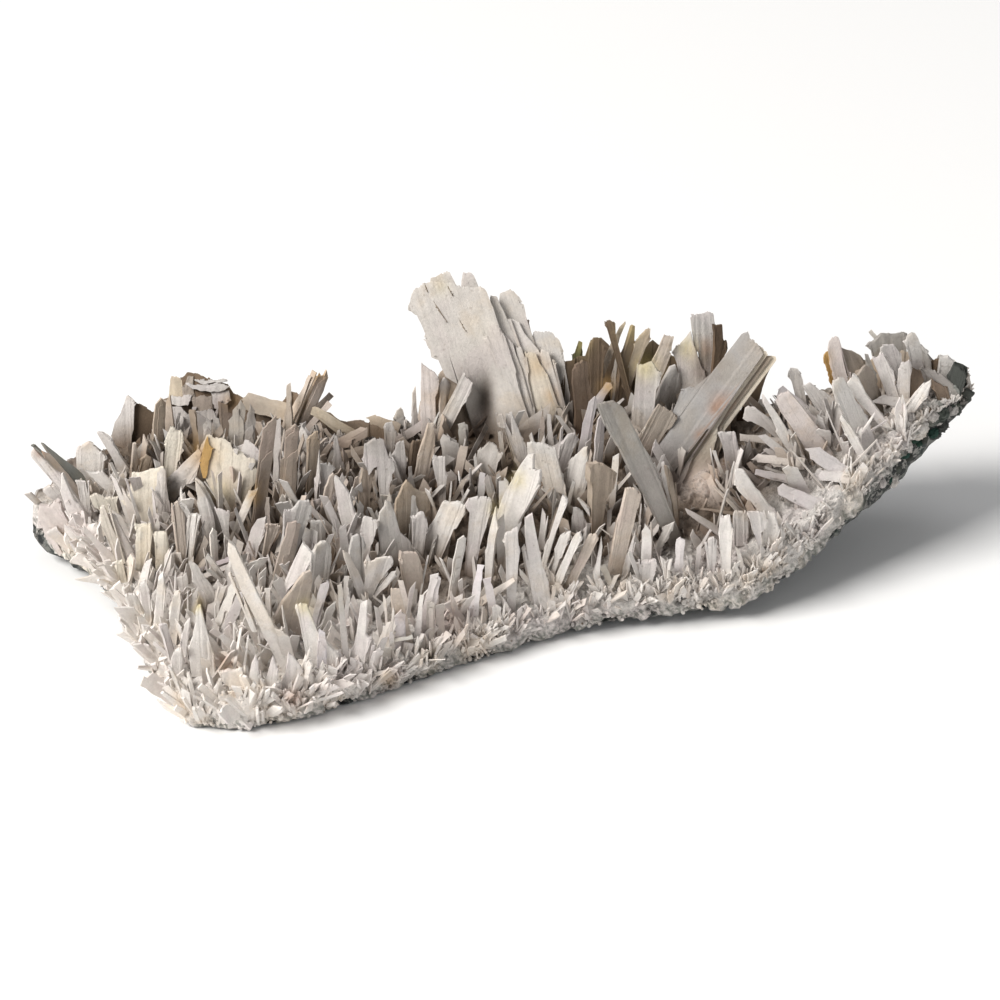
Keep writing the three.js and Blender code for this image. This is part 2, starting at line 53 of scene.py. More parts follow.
# The slab at stations along X, in millimetres: front edge y and z of its underside, top of the front lip,
# crest, back edge y and z of its underside, top of the back lip.
STATIONS = np.array([
    (-218, 53, 18, 27, 28, 62, 18, 26),
    (-208, 46, 12, 30, 34, 80, 11, 29),
    (-193, 33, 9, 31, 41, 94, 6, 32),
    (-174, 3, 7, 25, 43, 103, 2, 34),
    (-158, -42, 2, 18, 43, 107, 0, 34),
    (-148, -66, 0, 15, 42, 110, 0, 33),
    (-137, -89, 0, 13, 42, 112, 0, 32),
    (-112, -91, 0, 14, 42, 113, 0, 32),
    (-88, -82, 0, 15, 43, 111, 0, 32),
    (-58, -64, 0, 15, 46, 107, 0, 33),
    (-25, -41, 0, 15, 50, 102, 0, 35),
    (0, -26, 0, 14, 53, 100, 0, 37),
    (30, -10, 2, 17, 56, 101, 0, 38),
    (60, -4, 5, 20, 58, 103, 0, 40),
    (90, 1, 6, 21, 59, 104, 0, 42),
    (115, 5, 9, 26, 60, 104, 4, 44),
    (136, 18, 17, 38, 64, 105, 14, 48),
    (157, 36, 27, 50, 69, 108, 26, 54),
    (178, 52, 37, 60, 75, 111, 39, 62),
    (198, 70, 50, 70, 81, 113, 53, 69),
    (212, 81, 61, 73, 78, 109, 63, 71),
    (221, 88, 68, 74, 75, 99, 69, 72),
], float)
LEFT_X, RIGHT_X = STATIONS[0, 0], STATIONS[-1, 0]
MIDDLE_X, HALF_LENGTH = (LEFT_X + RIGHT_X) / 2, (RIGHT_X - LEFT_X) / 2
CREST_AT = 0.8  # the crust's highest line, as a share of its depth
CRUST_THICKNESS = 24
ROCK_AT_RIM = {"left": 5, "middle": 2.2, "right": 17}  # how much rock shows under the crust's edge
RIM_CHANGES = (140, 200)  # how far out the rim starts and ends its change from the middle's to the end's
SEAM = 0.4
LIP_BULGE = 2.6
LOWEST = 0.4  # quartz keeps this far above the surface that the specimen lies on
FRONT_LEAN = math.radians(-4)
BACK_LEAN = math.radians(20)
SHARP_EDGE = math.radians(32)

# What changes along X, as pairs of a place and the value there.
WHITE_REACH = ((-215, 1.0), (-150, 0.6), (-90, 0.42), (-20, 0.22), (100, 0.2), (150, 0.4), (215, 0.3))
WHITE_STRENGTH = ((-150, 1), (-90, 1), (-20, 0.65), (100, 0.65), (150, 0.75))
SPECKLED_HEIGHT = ((-110, 4), (-70, 11), (120, 9))
SIDEWAYS_LEAN = ((-215, -25), (-190, -14), (-150, -4), (-60, 2), (30, 4), (100, -8), (150, -20), (200, 0))
END_LENGTH = ((-215, 0.5), (-190, 1), (160, 1), (200, 0.5))
LIP_LENGTH = ((-60, 1.15), (-20, 0.9), (90, 0.9), (130, 0.8))
LIP_WIDTH = ((-110, 1.25), (-20, 0.65))
LIP_STOUTNESS = ((-110, 2.2), (-40, 1.1))

# Blades are laid out as seen from a point in front of the specimen and above it: across along X, and up
# along a plane that leans back by DISPLAY_TILT.
DISPLAY_TILT = math.radians(30)
EYE_DISTANCE = 2400
AIM_UP = 56
ACROSS = np.array([1, 0, 0], float)
UP = np.array([0, math.sin(DISPLAY_TILT), math.cos(DISPLAY_TILT)])
TOWARDS_EYE = np.array([0, -math.cos(DISPLAY_TILT), math.sin(DISPLAY_TILT)])
EYE = UP * AIM_UP + TOWARDS_EYE * EYE_DISTANCE

# Foot across and up, tip across and up, width, turn of the face in degrees, where the tip peaks (-0.5 to
# 0.5), and the finish where it isn't the group's own.
BLADES = {
    "hollow": [
        (-158, 78, -156, 103, 6, 40, 0), (-152, 92, -153, 104, 7, -30, 0.3),
        (-139, 84, -141, 98, 4, -30, 0), (-132, 88, -145, 84, 5, 20, 0), (-126, 84, -127, 102, 6, 10, -0.4),
        (-121, 80, -121, 102, 8, 0, 0.2, "ash"), (-115, 80, -116, 99, 6, 15, 0.3, "dust"),
    ],
    "creamTongue": [
        (-123, 38, -113, 62, 4, -20, 0.4, "ash"), (-111, 48, -106, 94, 7, 30, 0.3, "tan"),
    ],
    "frontLeft": [
        (-131, 26, -132, 43, 4, 40, 0), (-130, -3, -122, 17, 5, -10, 0), (-126, -4, -118, 14, 5, 10, 0),
        (-136, 21, -124, 26, 2, 0, 0), (-135, 25, -124, 29, 2, 0, 0), (-96, -16, -94, -6, 4, 20, 0),
    ],
    "brownWall": [
        (-98, 52, -97, 92, 8, 25, 0.3, "tan"), (-103, 60, -102, 94, 3, 0, 0.3, "ash"),
        (-92, 96, -83, 114, 10, 10, 0.2, "tan"), (-97, 86, -97, 110, 6, 0, 0.2),
        (-93, 98, -85, 115, 7, -25, 0), (-88, 96, -80, 115, 6, 40, 0.2), (-88, 88, -86, 103, 4, 0, 0.2),
        (-85, 97, -77, 105, 3, 0, 0), (-84, 94, -78, 101, 3, 0, 0), (-70, 87, -87, 98, 7, 0, 0),
        (-101, 97, -119, 102, 8, 10, 0), (-76, 80, -60, 89, 6, 0, 0), (-74, 76, -60, 80, 4, 0, 0),
        (-50, 90, -61, 94, 5, 0, 0), (-107, 34, -107, 58, 5, 5, 0), (-101, 20, -94, 46, 9, 28, 0),
    ],
    "centreLeft": [
        (-82, -22, -82, -2, 8, 10, -0.4), (-70, -27, -74, 18, 4, 15, 0), (-46, -8, -46, 5, 5, 10, 0),
        (-35, -2, -29, 22, 5, 0, 0), (-38, -6, -36, 12, 4, 0, 0), (-32, -4, -32, 10, 4, 0, 0),
        (-27, -6, -28, 8, 4, 20, 0), (-51, -9, -40, -7, 2, 0, 0), (-52, -24, -52, -12, 4, 0, 0),
        (-45, -22, -42, -10, 4, 0, 0), (-80, -2, -77, 9, 6, 20, 0.3), (-85, 0, -80, 19, 5, -10, 0.3),
    ],
    "centre": [
        (-9, 54, -8, 69, 5, 0, 0), (-3, 54, -6, 68, 4, 20, 0), (-46, 84, -35, 91, 4, 0, 0),
        (-17, 80, -17, 92, 5, 0, 0), (-22, 74, -24, 87, 9, 0, -0.2), (-26, 88, -25, 113, 7, 50, 0),
        (-22, 12, -18, 40, 5, 40, 0), (-12, 6, -9, 26, 5, 0, 0), (-3, 3, -6, 20, 4, 0, 0),
    ],
    "centreRight": [
        (38, 76, 43, 104, 6, 10, 0.2), (43, 99, 51, 110, 4, 0, 0), (60, 96, 57, 99, 6, 0, 0),
        (53, 13, 47, 26, 3, 0, 0), (45, 70, 46, 96, 5, 40, 0), (82, 18, 83, 39, 4, 0, 0),
    ],
    # Umber, partly for their own brown and partly as painted shade of the fan's shadow.
    "behindFan": [
        (40, 94, 38, 121, 12, 30, 0), (62, 102, 54, 114, 3, 0, 0), (118, 106, 125, 122, 7, 20, 0.3),
    ],
    "rightSlope": [
        (129, 83, 110, 85, 3, 0, 0), (136, 73, 116, 75, 5, 0, 0), (131, 66, 117, 69, 4, 0, 0),
        (156, 70, 141, 80, 7, 0, 0), (148, 52, 127, 62, 9, 10, 0.1), (160, 66, 144, 68, 5, 0, 0),
        (137, 100, 128, 107, 5, 0, 0),
    ],
    "rightWing": [
        (175, 128, 170, 134, 2, 0, 0), (190, 99, 172, 102, 6, 10, 0),
    ],
}
# Finish of each group of blades, as a colour name from TINTS. The umber behind the fan is partly the blades'
# own brown and partly painted shade of the fan's shadow.
GROUP_TINTS = {
    "hollow": "tan", "creamTongue": "cream", "frontLeft": "chalk", "brownWall": "putty", "centreLeft": "ash",
    "centre": "chalk", "centreRight": "ash", "behindFan": "umber", "rightSlope": "ash", "rightWing": "dust",
}
TINTS = {name: np.array(colour) for name, colour in {
    "pink": (0.9, 0.77, 0.69), "chalk": (0.76, 0.72, 0.68), "cream": (0.76, 0.7, 0.6),
    "warm": (0.72, 0.67, 0.58), "blush": (0.7, 0.63, 0.595), "ash": (0.67, 0.63, 0.6),
    "pale card": (0.66, 0.62, 0.58), "dust": (0.62, 0.59, 0.56), "warm card": (0.66, 0.6, 0.51),
    "card": (0.6, 0.56, 0.52), "straw": (0.66, 0.57, 0.44), "putty": (0.6, 0.52, 0.45),
    "yellow": (0.7, 0.58, 0.22), "tan": (0.5, 0.42, 0.34), "shale": (0.415, 0.4, 0.39),
    "flint": (0.4, 0.375, 0.345), "taupe": (0.42, 0.365, 0.31), "ochre": (0.52, 0.33, 0.13),
    "slate green": (0.25, 0.255, 0.235), "crack": (0.27, 0.22, 0.17), "rust": (0.38, 0.17, 0.07),
    "umber": (0.25, 0.19, 0.14), "dirt_and_shade": (0.22, 0.16, 0.11), "cocoa": (0.2, 0.145, 0.1),
    "slate": (0.1, 0.11, 0.1), "bark": (0.13, 0.093, 0.063), "soot": (0.075, 0.08, 0.072),
    "glass green": (0.035, 0.085, 0.065), "moss": (0.06, 0.062, 0.034),
}.items()}

# Stained places: across, up, reach in mm, colour and strength.
STAINS = [
    (93, 63, 9, "pink", 0.85), (95, 122, 7, "cocoa", 0.7), (92, 114, 7, "umber", 0.6),
    (102, 100.5, 5, "rust", 0.55), (98, 97.5, 2.6, "rust", 0.5), (-211.5, 78, 2.6, "rust", 0.7),
    (-205, 72, 3, "ochre", 0.3), (-137, 77, 8, "ochre", 0.7), (-124, 102, 4, "ochre", 0.4),
    (-139, 8, 3, "yellow", 0.7), (-126, -19, 4, "rust", 0.6), (-113, 58, 3, "ochre", 0.8),
    (-95, -35, 4, "rust", 0.5), (-82, 114, 4, "ochre", 0.7), (-90, 7, 4, "yellow", 0.5),
    (-51, -26, 4, "ochre", 0.5), (-22, 0, 9, "rust", 0.3), (-27, 154, 4, "yellow", 0.16),
    (-6, 134, 8, "cream", 0.4), (17, 118, 6, "ochre", 0.45), (24, 104, 4, "ochre", 0.5),
    (-2, 52, 4, "yellow", 0.4), (8, 65, 4, "yellow", 0.5), (50, 108, 4, "ochre", 0.8),
    (36, 130, 6, "yellow", 0.35), (67, 117, 6, "yellow", 0.5), (86, 126, 5, "yellow", 0.5),
    (95, 127, 3, "rust", 0.4), (93, 86, 3, "rust", 0.6), (150, 121, 3, "ochre", 0.6),
    (115, 54, 4, "rust", 0.25), (-26, 103, 4, "ochre", 0.4), (-190, 82, 4, "ochre", 0.3),
    (-128, 62, 5, "yellow", 0.25), (118, 125, 9, "tan", 0.4), (60, 134, 6, "yellow", 0.3),
]
# Places darkened with painted shade: across, up, half width, half height and strength.
SHADES = [
    (81, 67, 4, 5, 0.75), (-6.6, 98, 4.0, 12, 0.8), (-6.6, 106, 3.2, 8, 0.65), (-8, 87, 7, 7, 0.85),
    (-22, 98, 7, 16, 0.2), (-19, 112, 8, 8, 0.2), (-112, 60, 4, 13, 0.6), (-123, 48, 3, 7, 0.5),
    (-153, 62, 1.5, 12, 0.6), (176, 108, 4, 5, 0.5), (192, 116, 4, 5, 0.5), (33, 104, 6, 13, 0.6),
    (-128, 98, 22, 8, 0.45), (-60, 84, 22, 7, 0.35), (52, 112, 14, 14, 0.35), (84, 66, 5, 6, 0.6),
]
SHADE_COLOUR = np.array([0.93, 0.97, 1.0])  # how much of each colour a shade takes away


# The slab and its sight lines, all in millimetres.

def section_at(x):
    """The slab's section at each x: front y and z, lip, crest, back y and z, rear lip."""
    return [np.interp(x, STATIONS[:, 0], STATIONS[:, k]) for k in range(1, 8)]


def between(x, stops):
    """A value that changes evenly from stop to stop along X."""
    places, values = zip(*stops)
    return np.interp(x, places, values)


def mix(a, b, t):
    return a + (b - a) * t


def smooth(x, low, high):
    """A share that eases from 0 at low to 1 at high."""
    t = np.clip((x - low) / (high - low), 0, 1)
    return t * t * (3 - 2 * t)


def top_at(x, share):
    """Height of the crust at a share of the slab's depth, from its front edge to its back edge."""
    _, _, lip, crest, _, _, rear = section_at(x)
    rise = np.clip(share / CREST_AT, 0, 1)
    fall = np.clip((share - CREST_AT) / (1 - CREST_AT), 0, 1)
    rounded = rise * (1.25 - 0.25 * rise)
    return np.where(share < CREST_AT, mix(lip, crest, rounded), mix(crest, rear, fall**2))


def underside_at(x, share):
    """Height of the rock's underside: flat in the middle, with edges that turn up at the ends."""
    _, front_z, _, _, _, back_z, _ = section_at(x)
    flat = np.maximum(0, 1.15 * np.minimum(front_z, back_z) - 8)
    edge = np.where(share < 0.5, front_z, back_z)
    return mix(edge, flat, np.clip(5 * np.minimum(share, 1 - share), 0, 1))


def seam_at(x, share):
    """Height of the rock's top, where the crust begins."""
    end = np.where(x < 0, ROCK_AT_RIM["left"], ROCK_AT_RIM["right"])
    rim = mix(ROCK_AT_RIM["middle"], end, smooth(np.abs(x), *RIM_CHANGES))
    top = top_at(x, share)
    return np.minimum(np.maximum(underside_at(x, share) + rim, top - CRUST_THICKNESS), top - 3)


def share_at(x, y):
    """How far back a place lies: 0 at the front edge, 1 at the back edge."""
    front_y, _, _, _, back_y, _, _ = section_at(x)
    return (y - front_y) / (back_y - front_y)


def surface_point(x, share):
    front_y, _, _, _, back_y, _, _ = section_at(x)
    return np.stack([x, mix(front_y, back_y, share), top_at(x, share)], -1)


def lip_bulge(rise):
    """How far the front lip bulges out, at a share of its height."""
    return LIP_BULGE * np.sin(math.pi * (0.2 + 0.8 * rise))


def sight_directions(across, up):
    ways = np.multiply.outer(across, ACROSS) + np.multiply.outer(up, UP) - EYE
    return ways / np.linalg.norm(ways, axis=-1, keepdims=True)


def as_seen(points):
    """Where points are seen on the display plane: across and up."""
    ways = points - EYE
    scale = EYE_DISTANCE / -(ways @ TOWARDS_EYE)
    seen = EYE + ways * scale[..., None]
    return seen @ ACROSS, seen @ UP


def in_crust(points, standoff):
    x = points[..., 0]
    share = share_at(x, points[..., 1])
    inside = (x > LEFT_X) & (x < RIGHT_X) & (share > 0) & (share < 1)
    return inside & (points[..., 2] > underside_at(x, share)) & (points[..., 2] < top_at(x, share) + standoff)


# Distances from the eye at which a sight line is looked at: from before the specimen to behind it.
SIGHT_STEPS = np.arange(EYE_DISTANCE - 280, EYE_DISTANCE + 280, 2.0)


def first_sight(across, up, standoff):
    """The first point of each sight line within the standoff of the crust, or NaN where it passes over."""
    ways = sight_directions(np.atleast_1d(across), np.atleast_1d(up))
    steps = EYE + ways[:, None, :] * SIGHT_STEPS[None, :, None]
    hits = in_crust(steps, standoff)
    found = steps[np.arange(len(ways)), hits.argmax(1)]
    found[~hits.any(1)] = np.nan
    return found


def growth_normal(foot):
    """The normal of the plane that the blades at a foot grow in: it leans further back towards the rear."""
    lean = mix(FRONT_LEAN, BACK_LEAN, np.clip(share_at(foot[0], foot[1]), 0, 1))
    return np.array([0, -math.cos(lean), math.sin(lean)])


def meet(across, up, point, normal):
    """Where a sight line meets the plane through a point."""
    way = sight_directions(np.array([across]), np.array([up]))[0]
    return EYE + way * (np.dot(point - EYE, normal) / np.dot(way, normal))


def unit(v):
    return v / np.linalg.norm(v, axis=-1, keepdims=True)


# Plates: flat strips side by side, which share smooth faces and end in a broken tip.

class Plates:
    """Collects flat plates with broken edges and makes one mesh of them."""

    HAIRLINE = 0.05
    FLOW_SHIFT = 7.3  # keeps the streaks of neighbouring plates apart

    def __init__(self, seed):
        self.rng = np.random.default_rng(seed)
        self.sizes = {}

    def plate(self, rows, foot, axis, facing, at, start, end, out, thick, bow, widen, ragged, tint):
        """One plate of columns side by side: where each stands across, its ends and how far it stands out."""
        columns = [np.broadcast_to(np.asarray(v, float), len(at)) for v in (at, start, end, out)]
        self.sizes.setdefault((len(at), rows), []).append(
            (foot, axis, facing, *columns, thick, bow, widen, ragged, tint)
        )

    def blade(self, foot, axis, facing, width, length, thick, root, peak, tint,
              leaves=None, strip=2.4, rows=9, pointed=0.3, ragged=0.05):
        """A blade with a broken tip, and thinner leaves lying on its two faces."""
        rng = self.rng
        bow, narrow = rng.normal(0, 0.03) * length, rng.uniform(0.9, 1.05)
        if rng.random() < pointed:
            narrow = rng.uniform(0.3, 0.7)
        widen = rng.uniform(0.85, 1.1) / narrow
        drop = rng.uniform(0.3, 1.5)
        if leaves is None:
            leaves = int(width > 4) + int(width > 7) + int(rng.random() < 0.5)
        for leaf in range(leaves + 1):
            leaf_width, middle, out, leaf_thick, reach = width * narrow, 0.0, 0.0, thick, length
            if leaf:
                leaf_width *= rng.uniform(0.4, 0.95)
                middle = rng.uniform(-0.5, 0.5) * (width * narrow - leaf_width)
                leaf_thick = thick * rng.uniform(0.25, 0.5)
                out = rng.choice([-1, 1]) * ((thick + leaf_thick) / 2 - 0.15)
                reach = length * rng.uniform(0.4, 0.98)
            count = max(1, round(leaf_width / strip * rng.uniform(0.75, 1.25)))
            edges = np.linspace(-0.5, 0.5, count + 1)
            edges[1:-1] += rng.uniform(-0.35, 0.35, count - 1) / count
            mids, steps = (edges[:-1] + edges[1:]) / 2, np.diff(edges)
            fall = drop * leaf_width * np.abs(mids - peak) + np.abs(rng.normal(0, ragged * width, count))
            if count > 2 and rng.random() < 0.4:
                side = rng.choice([0, -1])
                fall[side] += reach * rng.uniform(0.08, 0.4)
            slant = -np.sign(mids - peak) * drop * leaf_width * steps * rng.uniform(0.5, 1.4, count)
            end = np.repeat(reach - fall, 2)
            end[0::2] -= slant / 2
            end[1::2] += slant / 2
            at = np.repeat(edges, 2)[1:-1] * leaf_width
            at[1:-1] += np.tile([-self.HAIRLINE, self.HAIRLINE], count - 1)
            self.plate(
                rows, foot, axis, facing, middle + at, -root * (0.6 if leaf else 1),
                np.maximum(end, 0.15 * reach), out + np.repeat(rng.normal(0, 0.05, count), 2), leaf_thick,
                bow, widen, 0.02 * width + 0.1, tint * rng.normal(1, 0.025),
            )

    def block(self, count, rows, plates):
        """Points, tints and flow of all plates with the same number of columns and rows."""
        def pick(k):
            return np.array([plate[k] for plate in plates], float)

        rng = self.rng
        foot, axis, facing = pick(0), unit(pick(1)), pick(2)
        facing = unit(facing - axis * np.sum(facing * axis, -1, keepdims=True))
        wide = np.cross(axis, facing)
        at, start, end, out = (pick(k)[:, :, None] for k in range(3, 7))
        thick, bow, widen, ragged = (pick(k)[:, None, None] for k in range(7, 11))
        shape = (len(plates), count, rows)
        along_share = 1 - (1 - np.linspace(0, 1, rows)) ** 1.35
        border = np.zeros((count, 1))
        border[[0, -1]] = 1
        wavy = border
        if count > 12:  # a broad plate wavers only near its two sides
            nearest = np.minimum(np.arange(count), np.arange(count)[::-1])
            wavy = np.clip(1 - nearest / 6, 0, 1)[:, None]
        along = start + (end - start) * along_share + rng.normal(0, 0.15, shape) * along_share**6
        wave = rng.normal(0, 1, (len(plates), 2, rows)).repeat([count // 2, count - count // 2], axis=1)
        spread = at * mix(widen, 1, along_share) + wave * ragged * wavy
        tallest = np.maximum(end.max(1, keepdims=True), 1)
        seams = rng.normal(0, 0.03, (len(plates), count // 2 + 1, rows)).repeat(2, axis=1)[:, 1:-1]
        depth = out + bow * (np.maximum(along, 0) / tallest) ** 2 + seams
        half = thick / 2 * mix(1, 0.6, border) * mix(1.15, 0.8, along_share)
        half = half * np.where(along_share < 1, 1, 0.75)
        grid = (
            foot[:, None, None, None] + spread[:, None, ..., None] * wide[:, None, None, None]
            + along[:, None, ..., None] * axis[:, None, None, None]
            + np.stack([depth + half, depth - half], 1)[..., None] * facing[:, None, None, None]
        )
        flow = np.stack([spread, along, depth], -1)[:, None].repeat(2, 1)
        flow = flow + (foot[:, :1] * self.FLOW_SHIFT)[:, None, None, None]
        tint = np.broadcast_to(pick(11)[:, None, None, None], grid.shape)
        return grid.reshape(-1, 3), tint.reshape(-1, 3), flow.reshape(-1, 3)

    @staticmethod
    def skin(plates, count, rows):
        """Quads over both faces of each plate and round its four sides."""
        index = np.arange(plates * 2 * count * rows).reshape(plates, 2, count, rows)
        f, b = index[:, 0], index[:, 1]
        quads = [
            (f[:, :-1, :-1], f[:, 1:, :-1], f[:, 1:, 1:], f[:, :-1, 1:]),
            (b[:, :-1, :-1], b[:, :-1, 1:], b[:, 1:, 1:], b[:, 1:, :-1]),
            (b[:, 0, :-1], f[:, 0, :-1], f[:, 0, 1:], b[:, 0, 1:]),
            (f[:, -1, :-1], b[:, -1, :-1], b[:, -1, 1:], f[:, -1, 1:]),
            (f[:, :-1, -1], f[:, 1:, -1], b[:, 1:, -1], b[:, :-1, -1]),
            (b[:, :-1, 0], b[:, 1:, 0], f[:, 1:, 0], f[:, :-1, 0]),
        ]
        return np.concatenate([np.stack(q, -1).reshape(-1, 4) for q in quads])

    def mesh(self, name, press=None):
        """One mesh of all the plates, pressed into shape where a press is given."""
        parts, faces, total = [], [], 0
        for (count, rows), plates in sorted(self.sizes.items()):
            parts.append(self.block(count, rows, plates))
            faces.append(self.skin(len(plates), count, rows) + total)
            total += len(parts[-1][0])
        points, tint, flow = (np.concatenate(v) for v in zip(*parts))
        if press:
            points = press(points)
        points[:, 2] = np.maximum(points[:, 2], LOWEST)
        return make_mesh(name, points, np.concatenate(faces), shade_of_place(points, tint), flow)


def white_rim(points):
    """How white the growth is: most along the front at the left, fading inwards and to the right."""
    x = points[:, 0]
    share = share_at(x, points[:, 1])
    return between(x, WHITE_STRENGTH) * (1 - smooth(share / between(x, WHITE_REACH), 0.3, 1.0))


def whitened(points, tint, brightness, strength=1.0):
    """A tint that turns to bright chalk where the growth is white."""
    return mix(tint, TINTS["chalk"] * brightness, strength * white_rim(points)[:, None])


def shade_of_place(points, tint):
    """Stains, painted shade at shaded places, and brown low between the blades, part grime and part painted
    shade, over a tint.
    """
    across, up = as_seen(points)
    share = share_at(points[:, 0], points[:, 1])
    depth = points[:, 2] - top_at(points[:, 0], np.clip(share, 0, 1))
    inner = smooth(np.minimum(share, 1.08 - share), 0.03, 0.22) * (1 - 0.5 * smooth(points[:, 0], 105, 140))
    white = white_rim(points)
    # Darker brown low between the blades and over the crust inside the rim: partly grime, partly painted
    # shade where blades shade one another.
    dirt_and_shade = (1 - smooth(depth, -1, 21)) * mix(0.08, 1.0, inner) * (1 - 0.8 * white)
    tint = tint * (1 + 0.05 * white[:, None])
    tint = mix(tint, tint * TINTS["dirt_and_shade"], dirt_and_shade[:, None] * 0.95)
    # Painted shade at each shaded place.
    for a, b, wide, high, strength in SHADES:
        near = np.exp(-((across - a) / wide) ** 2 - ((up - b) / high) ** 2)
        tint = tint * (1 - strength * near[:, None] * SHADE_COLOUR)
    for a, b, reach, name, strength in STAINS:
        near = np.exp(-((across - a) ** 2 + (up - b) ** 2) / reach**2)
        tint = mix(tint, TINTS[name], (strength * near)[:, None])
    return tint


def make_mesh(name, points, faces, tint, flow):
    """A mesh object from arrays in millimetres, with its tint and the flow of its strips as attributes."""
    mesh = bpy.data.meshes.new(name)
    mesh.vertices.add(len(points))
    mesh.vertices.foreach_set("co", (points * MM).astype(np.float32).ravel())
    mesh.loops.add(faces.size)
    mesh.loops.foreach_set("vertex_index", faces.astype(np.int32).ravel())
    mesh.polygons.add(len(faces))
    mesh.polygons.foreach_set("loop_start", np.arange(0, faces.size, faces.shape[1], dtype=np.int32))
    mesh.update(calc_edges=True)
    mesh.set_sharp_from_angle(angle=SHARP_EDGE)
    colours = np.ones((len(points), 4), np.float32)
    colours[:, :3] = np.clip(tint, 0, 1)
    tints = mesh.attributes.new("tint", "FLOAT_COLOR", "POINT")
    tints.data.foreach_set("color", colours.ravel())
    flows = mesh.attributes.new("flow", "FLOAT_VECTOR", "POINT")
    flows.data.foreach_set("vector", (flow * MM).astype(np.float32).ravel())
    piece = bpy.data.objects.new(name, mesh)
    bpy.context.scene.collection.objects.link(piece)
    return piece


def settle(piece, material, node="quartz_blades"):
    """Gives a finished piece its material and its place in the specimen."""
    piece.data.materials.append(material)
    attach(piece, "root")
    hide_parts(node)


def blade_thickness(width):
    return float(np.clip(0.16 * width + 0.7, 1.2, 3.4))


LYING = 0.5  # a blade that rises less than this share of its length lies down
STEPS_DOWN = np.arange(0, 63, 3.0)  # how far below its seen foot a blade may start from the crust
FOOT_STANDOFF = 7
DEEPEST_ROOT = {"lying": 4.0, "standing": 14.0}


def placed(row):
    """Foot, axis, length, turned face and root of a blade given by where it is seen."""
    foot_across, foot_up, tip_across, tip_up, _, turn = row[:6]
    seen = unit(np.array([tip_across - foot_across, tip_up - foot_up], float))
    lying = seen[1] < LYING
    way = (0, 1) if lying else seen
    feet = first_sight(foot_across - STEPS_DOWN * way[0], foot_up - STEPS_DOWN * way[1], FOOT_STANDOFF)
    anchor = feet[(~np.isnan(feet[:, 0])).argmax()]
    foot = meet(foot_across, foot_up, anchor, growth_normal(anchor)) if lying else anchor
    tip = meet(tip_across, tip_up, anchor, growth_normal(anchor))
    length = float(np.linalg.norm(tip - foot))
    axis = (tip - foot) / length
    facing = unit(TOWARDS_EYE - axis * np.dot(TOWARDS_EYE, axis))
    turned = Matrix.Rotation(math.radians(turn), 3, Vector(axis)) @ Vector(facing)
    root = buried(foot[None], axis[None], DEEPEST_ROOT["lying" if lying else "standing"])[0]
    return foot, axis, length, np.array(turned), float(root)


def buried(foot, axis, deepest):
    """How far each blade runs back below its foot and stays above the seam."""
    root = np.full(len(foot), 0.5)
    for depth in np.linspace(1, deepest, 8):
        end = foot - axis * depth
        share = share_at(end[:, 0], end[:, 1])
        inside = (share > -0.01) & (share < 1.01) & (end[:, 2] > seam_at(end[:, 0], np.clip(share, 0, 1)) + 1)
        root = np.where(inside, depth, root)
    return root


# Materials.

class Nodes:
    """Short hand for a material's node tree."""

    def __init__(self, name):
        self.material = bpy.data.materials.new(name)
        self.material.use_nodes = True
        self.tree = self.material.node_tree
        self.shader = self.tree.nodes["Principled BSDF"]

    def new(self, kind):
        return self.tree.nodes.new("ShaderNode" + kind)

    def feed(self, value, socket):
        """Links an output to a socket, or sets the socket to a number or colour."""
        if isinstance(value, bpy.types.NodeSocket):
            self.tree.links.new(value, socket)
        else:
            socket.default_value = value

    def place(self):
        return self.new("TexCoord").outputs["Object"]

    def attribute(self, name, output="Color"):
        node = self.new("Attribute")
        node.attribute_name = name
        return node.outputs[output]

    def maths(self, operation, first, second):
        node = self.new("Math")
        node.operation = operation
        self.feed(first, node.inputs[0])
        self.feed(second, node.inputs[1])
        return node.outputs[0]

    def times(self, first, second):
        return self.maths("MULTIPLY", first, second)

    def blend(self, kind, amount, first, second):
        node = self.new("Mix")
        node.data_type = "RGBA"
        node.blend_type = kind
        self.feed(amount, node.inputs[0])
        self.feed(first, node.inputs[6])
        self.feed(second, node.inputs[7])
        return node.outputs[2]

    def stepped(self, value, low, high, from_value=0.0, to_value=1.0):
        """A value that eases from one number to another while the given one goes from low to high."""
        node = self.new("MapRange")
        node.interpolation_type = "SMOOTHSTEP"
        for socket, number in zip(node.inputs, (value, low, high, from_value, to_value)):
            self.feed(number, socket)
        return node.outputs[0]

    def noise(self, vector, scale, detail=3.0, roughness=0.55):
        node = self.new("TexNoise")
        self.feed(vector, node.inputs["Vector"])
        node.inputs["Scale"].default_value = scale
        node.inputs["Detail"].default_value = detail
        node.inputs["Roughness"].default_value = roughness
        return node.outputs[0]

    def raise_grain(self, height, distance, strength=0.8):
        """Raises the surface by a height, up to a distance."""
        bump = self.new("Bump")
        bump.inputs["Strength"].default_value = strength
        bump.inputs["Distance"].default_value = distance
        self.feed(height, bump.inputs["Height"])
        self.feed(bump.outputs[0], self.shader.inputs["Normal"])


def rgba(colour):
    return (*colour[:3], 1.0)


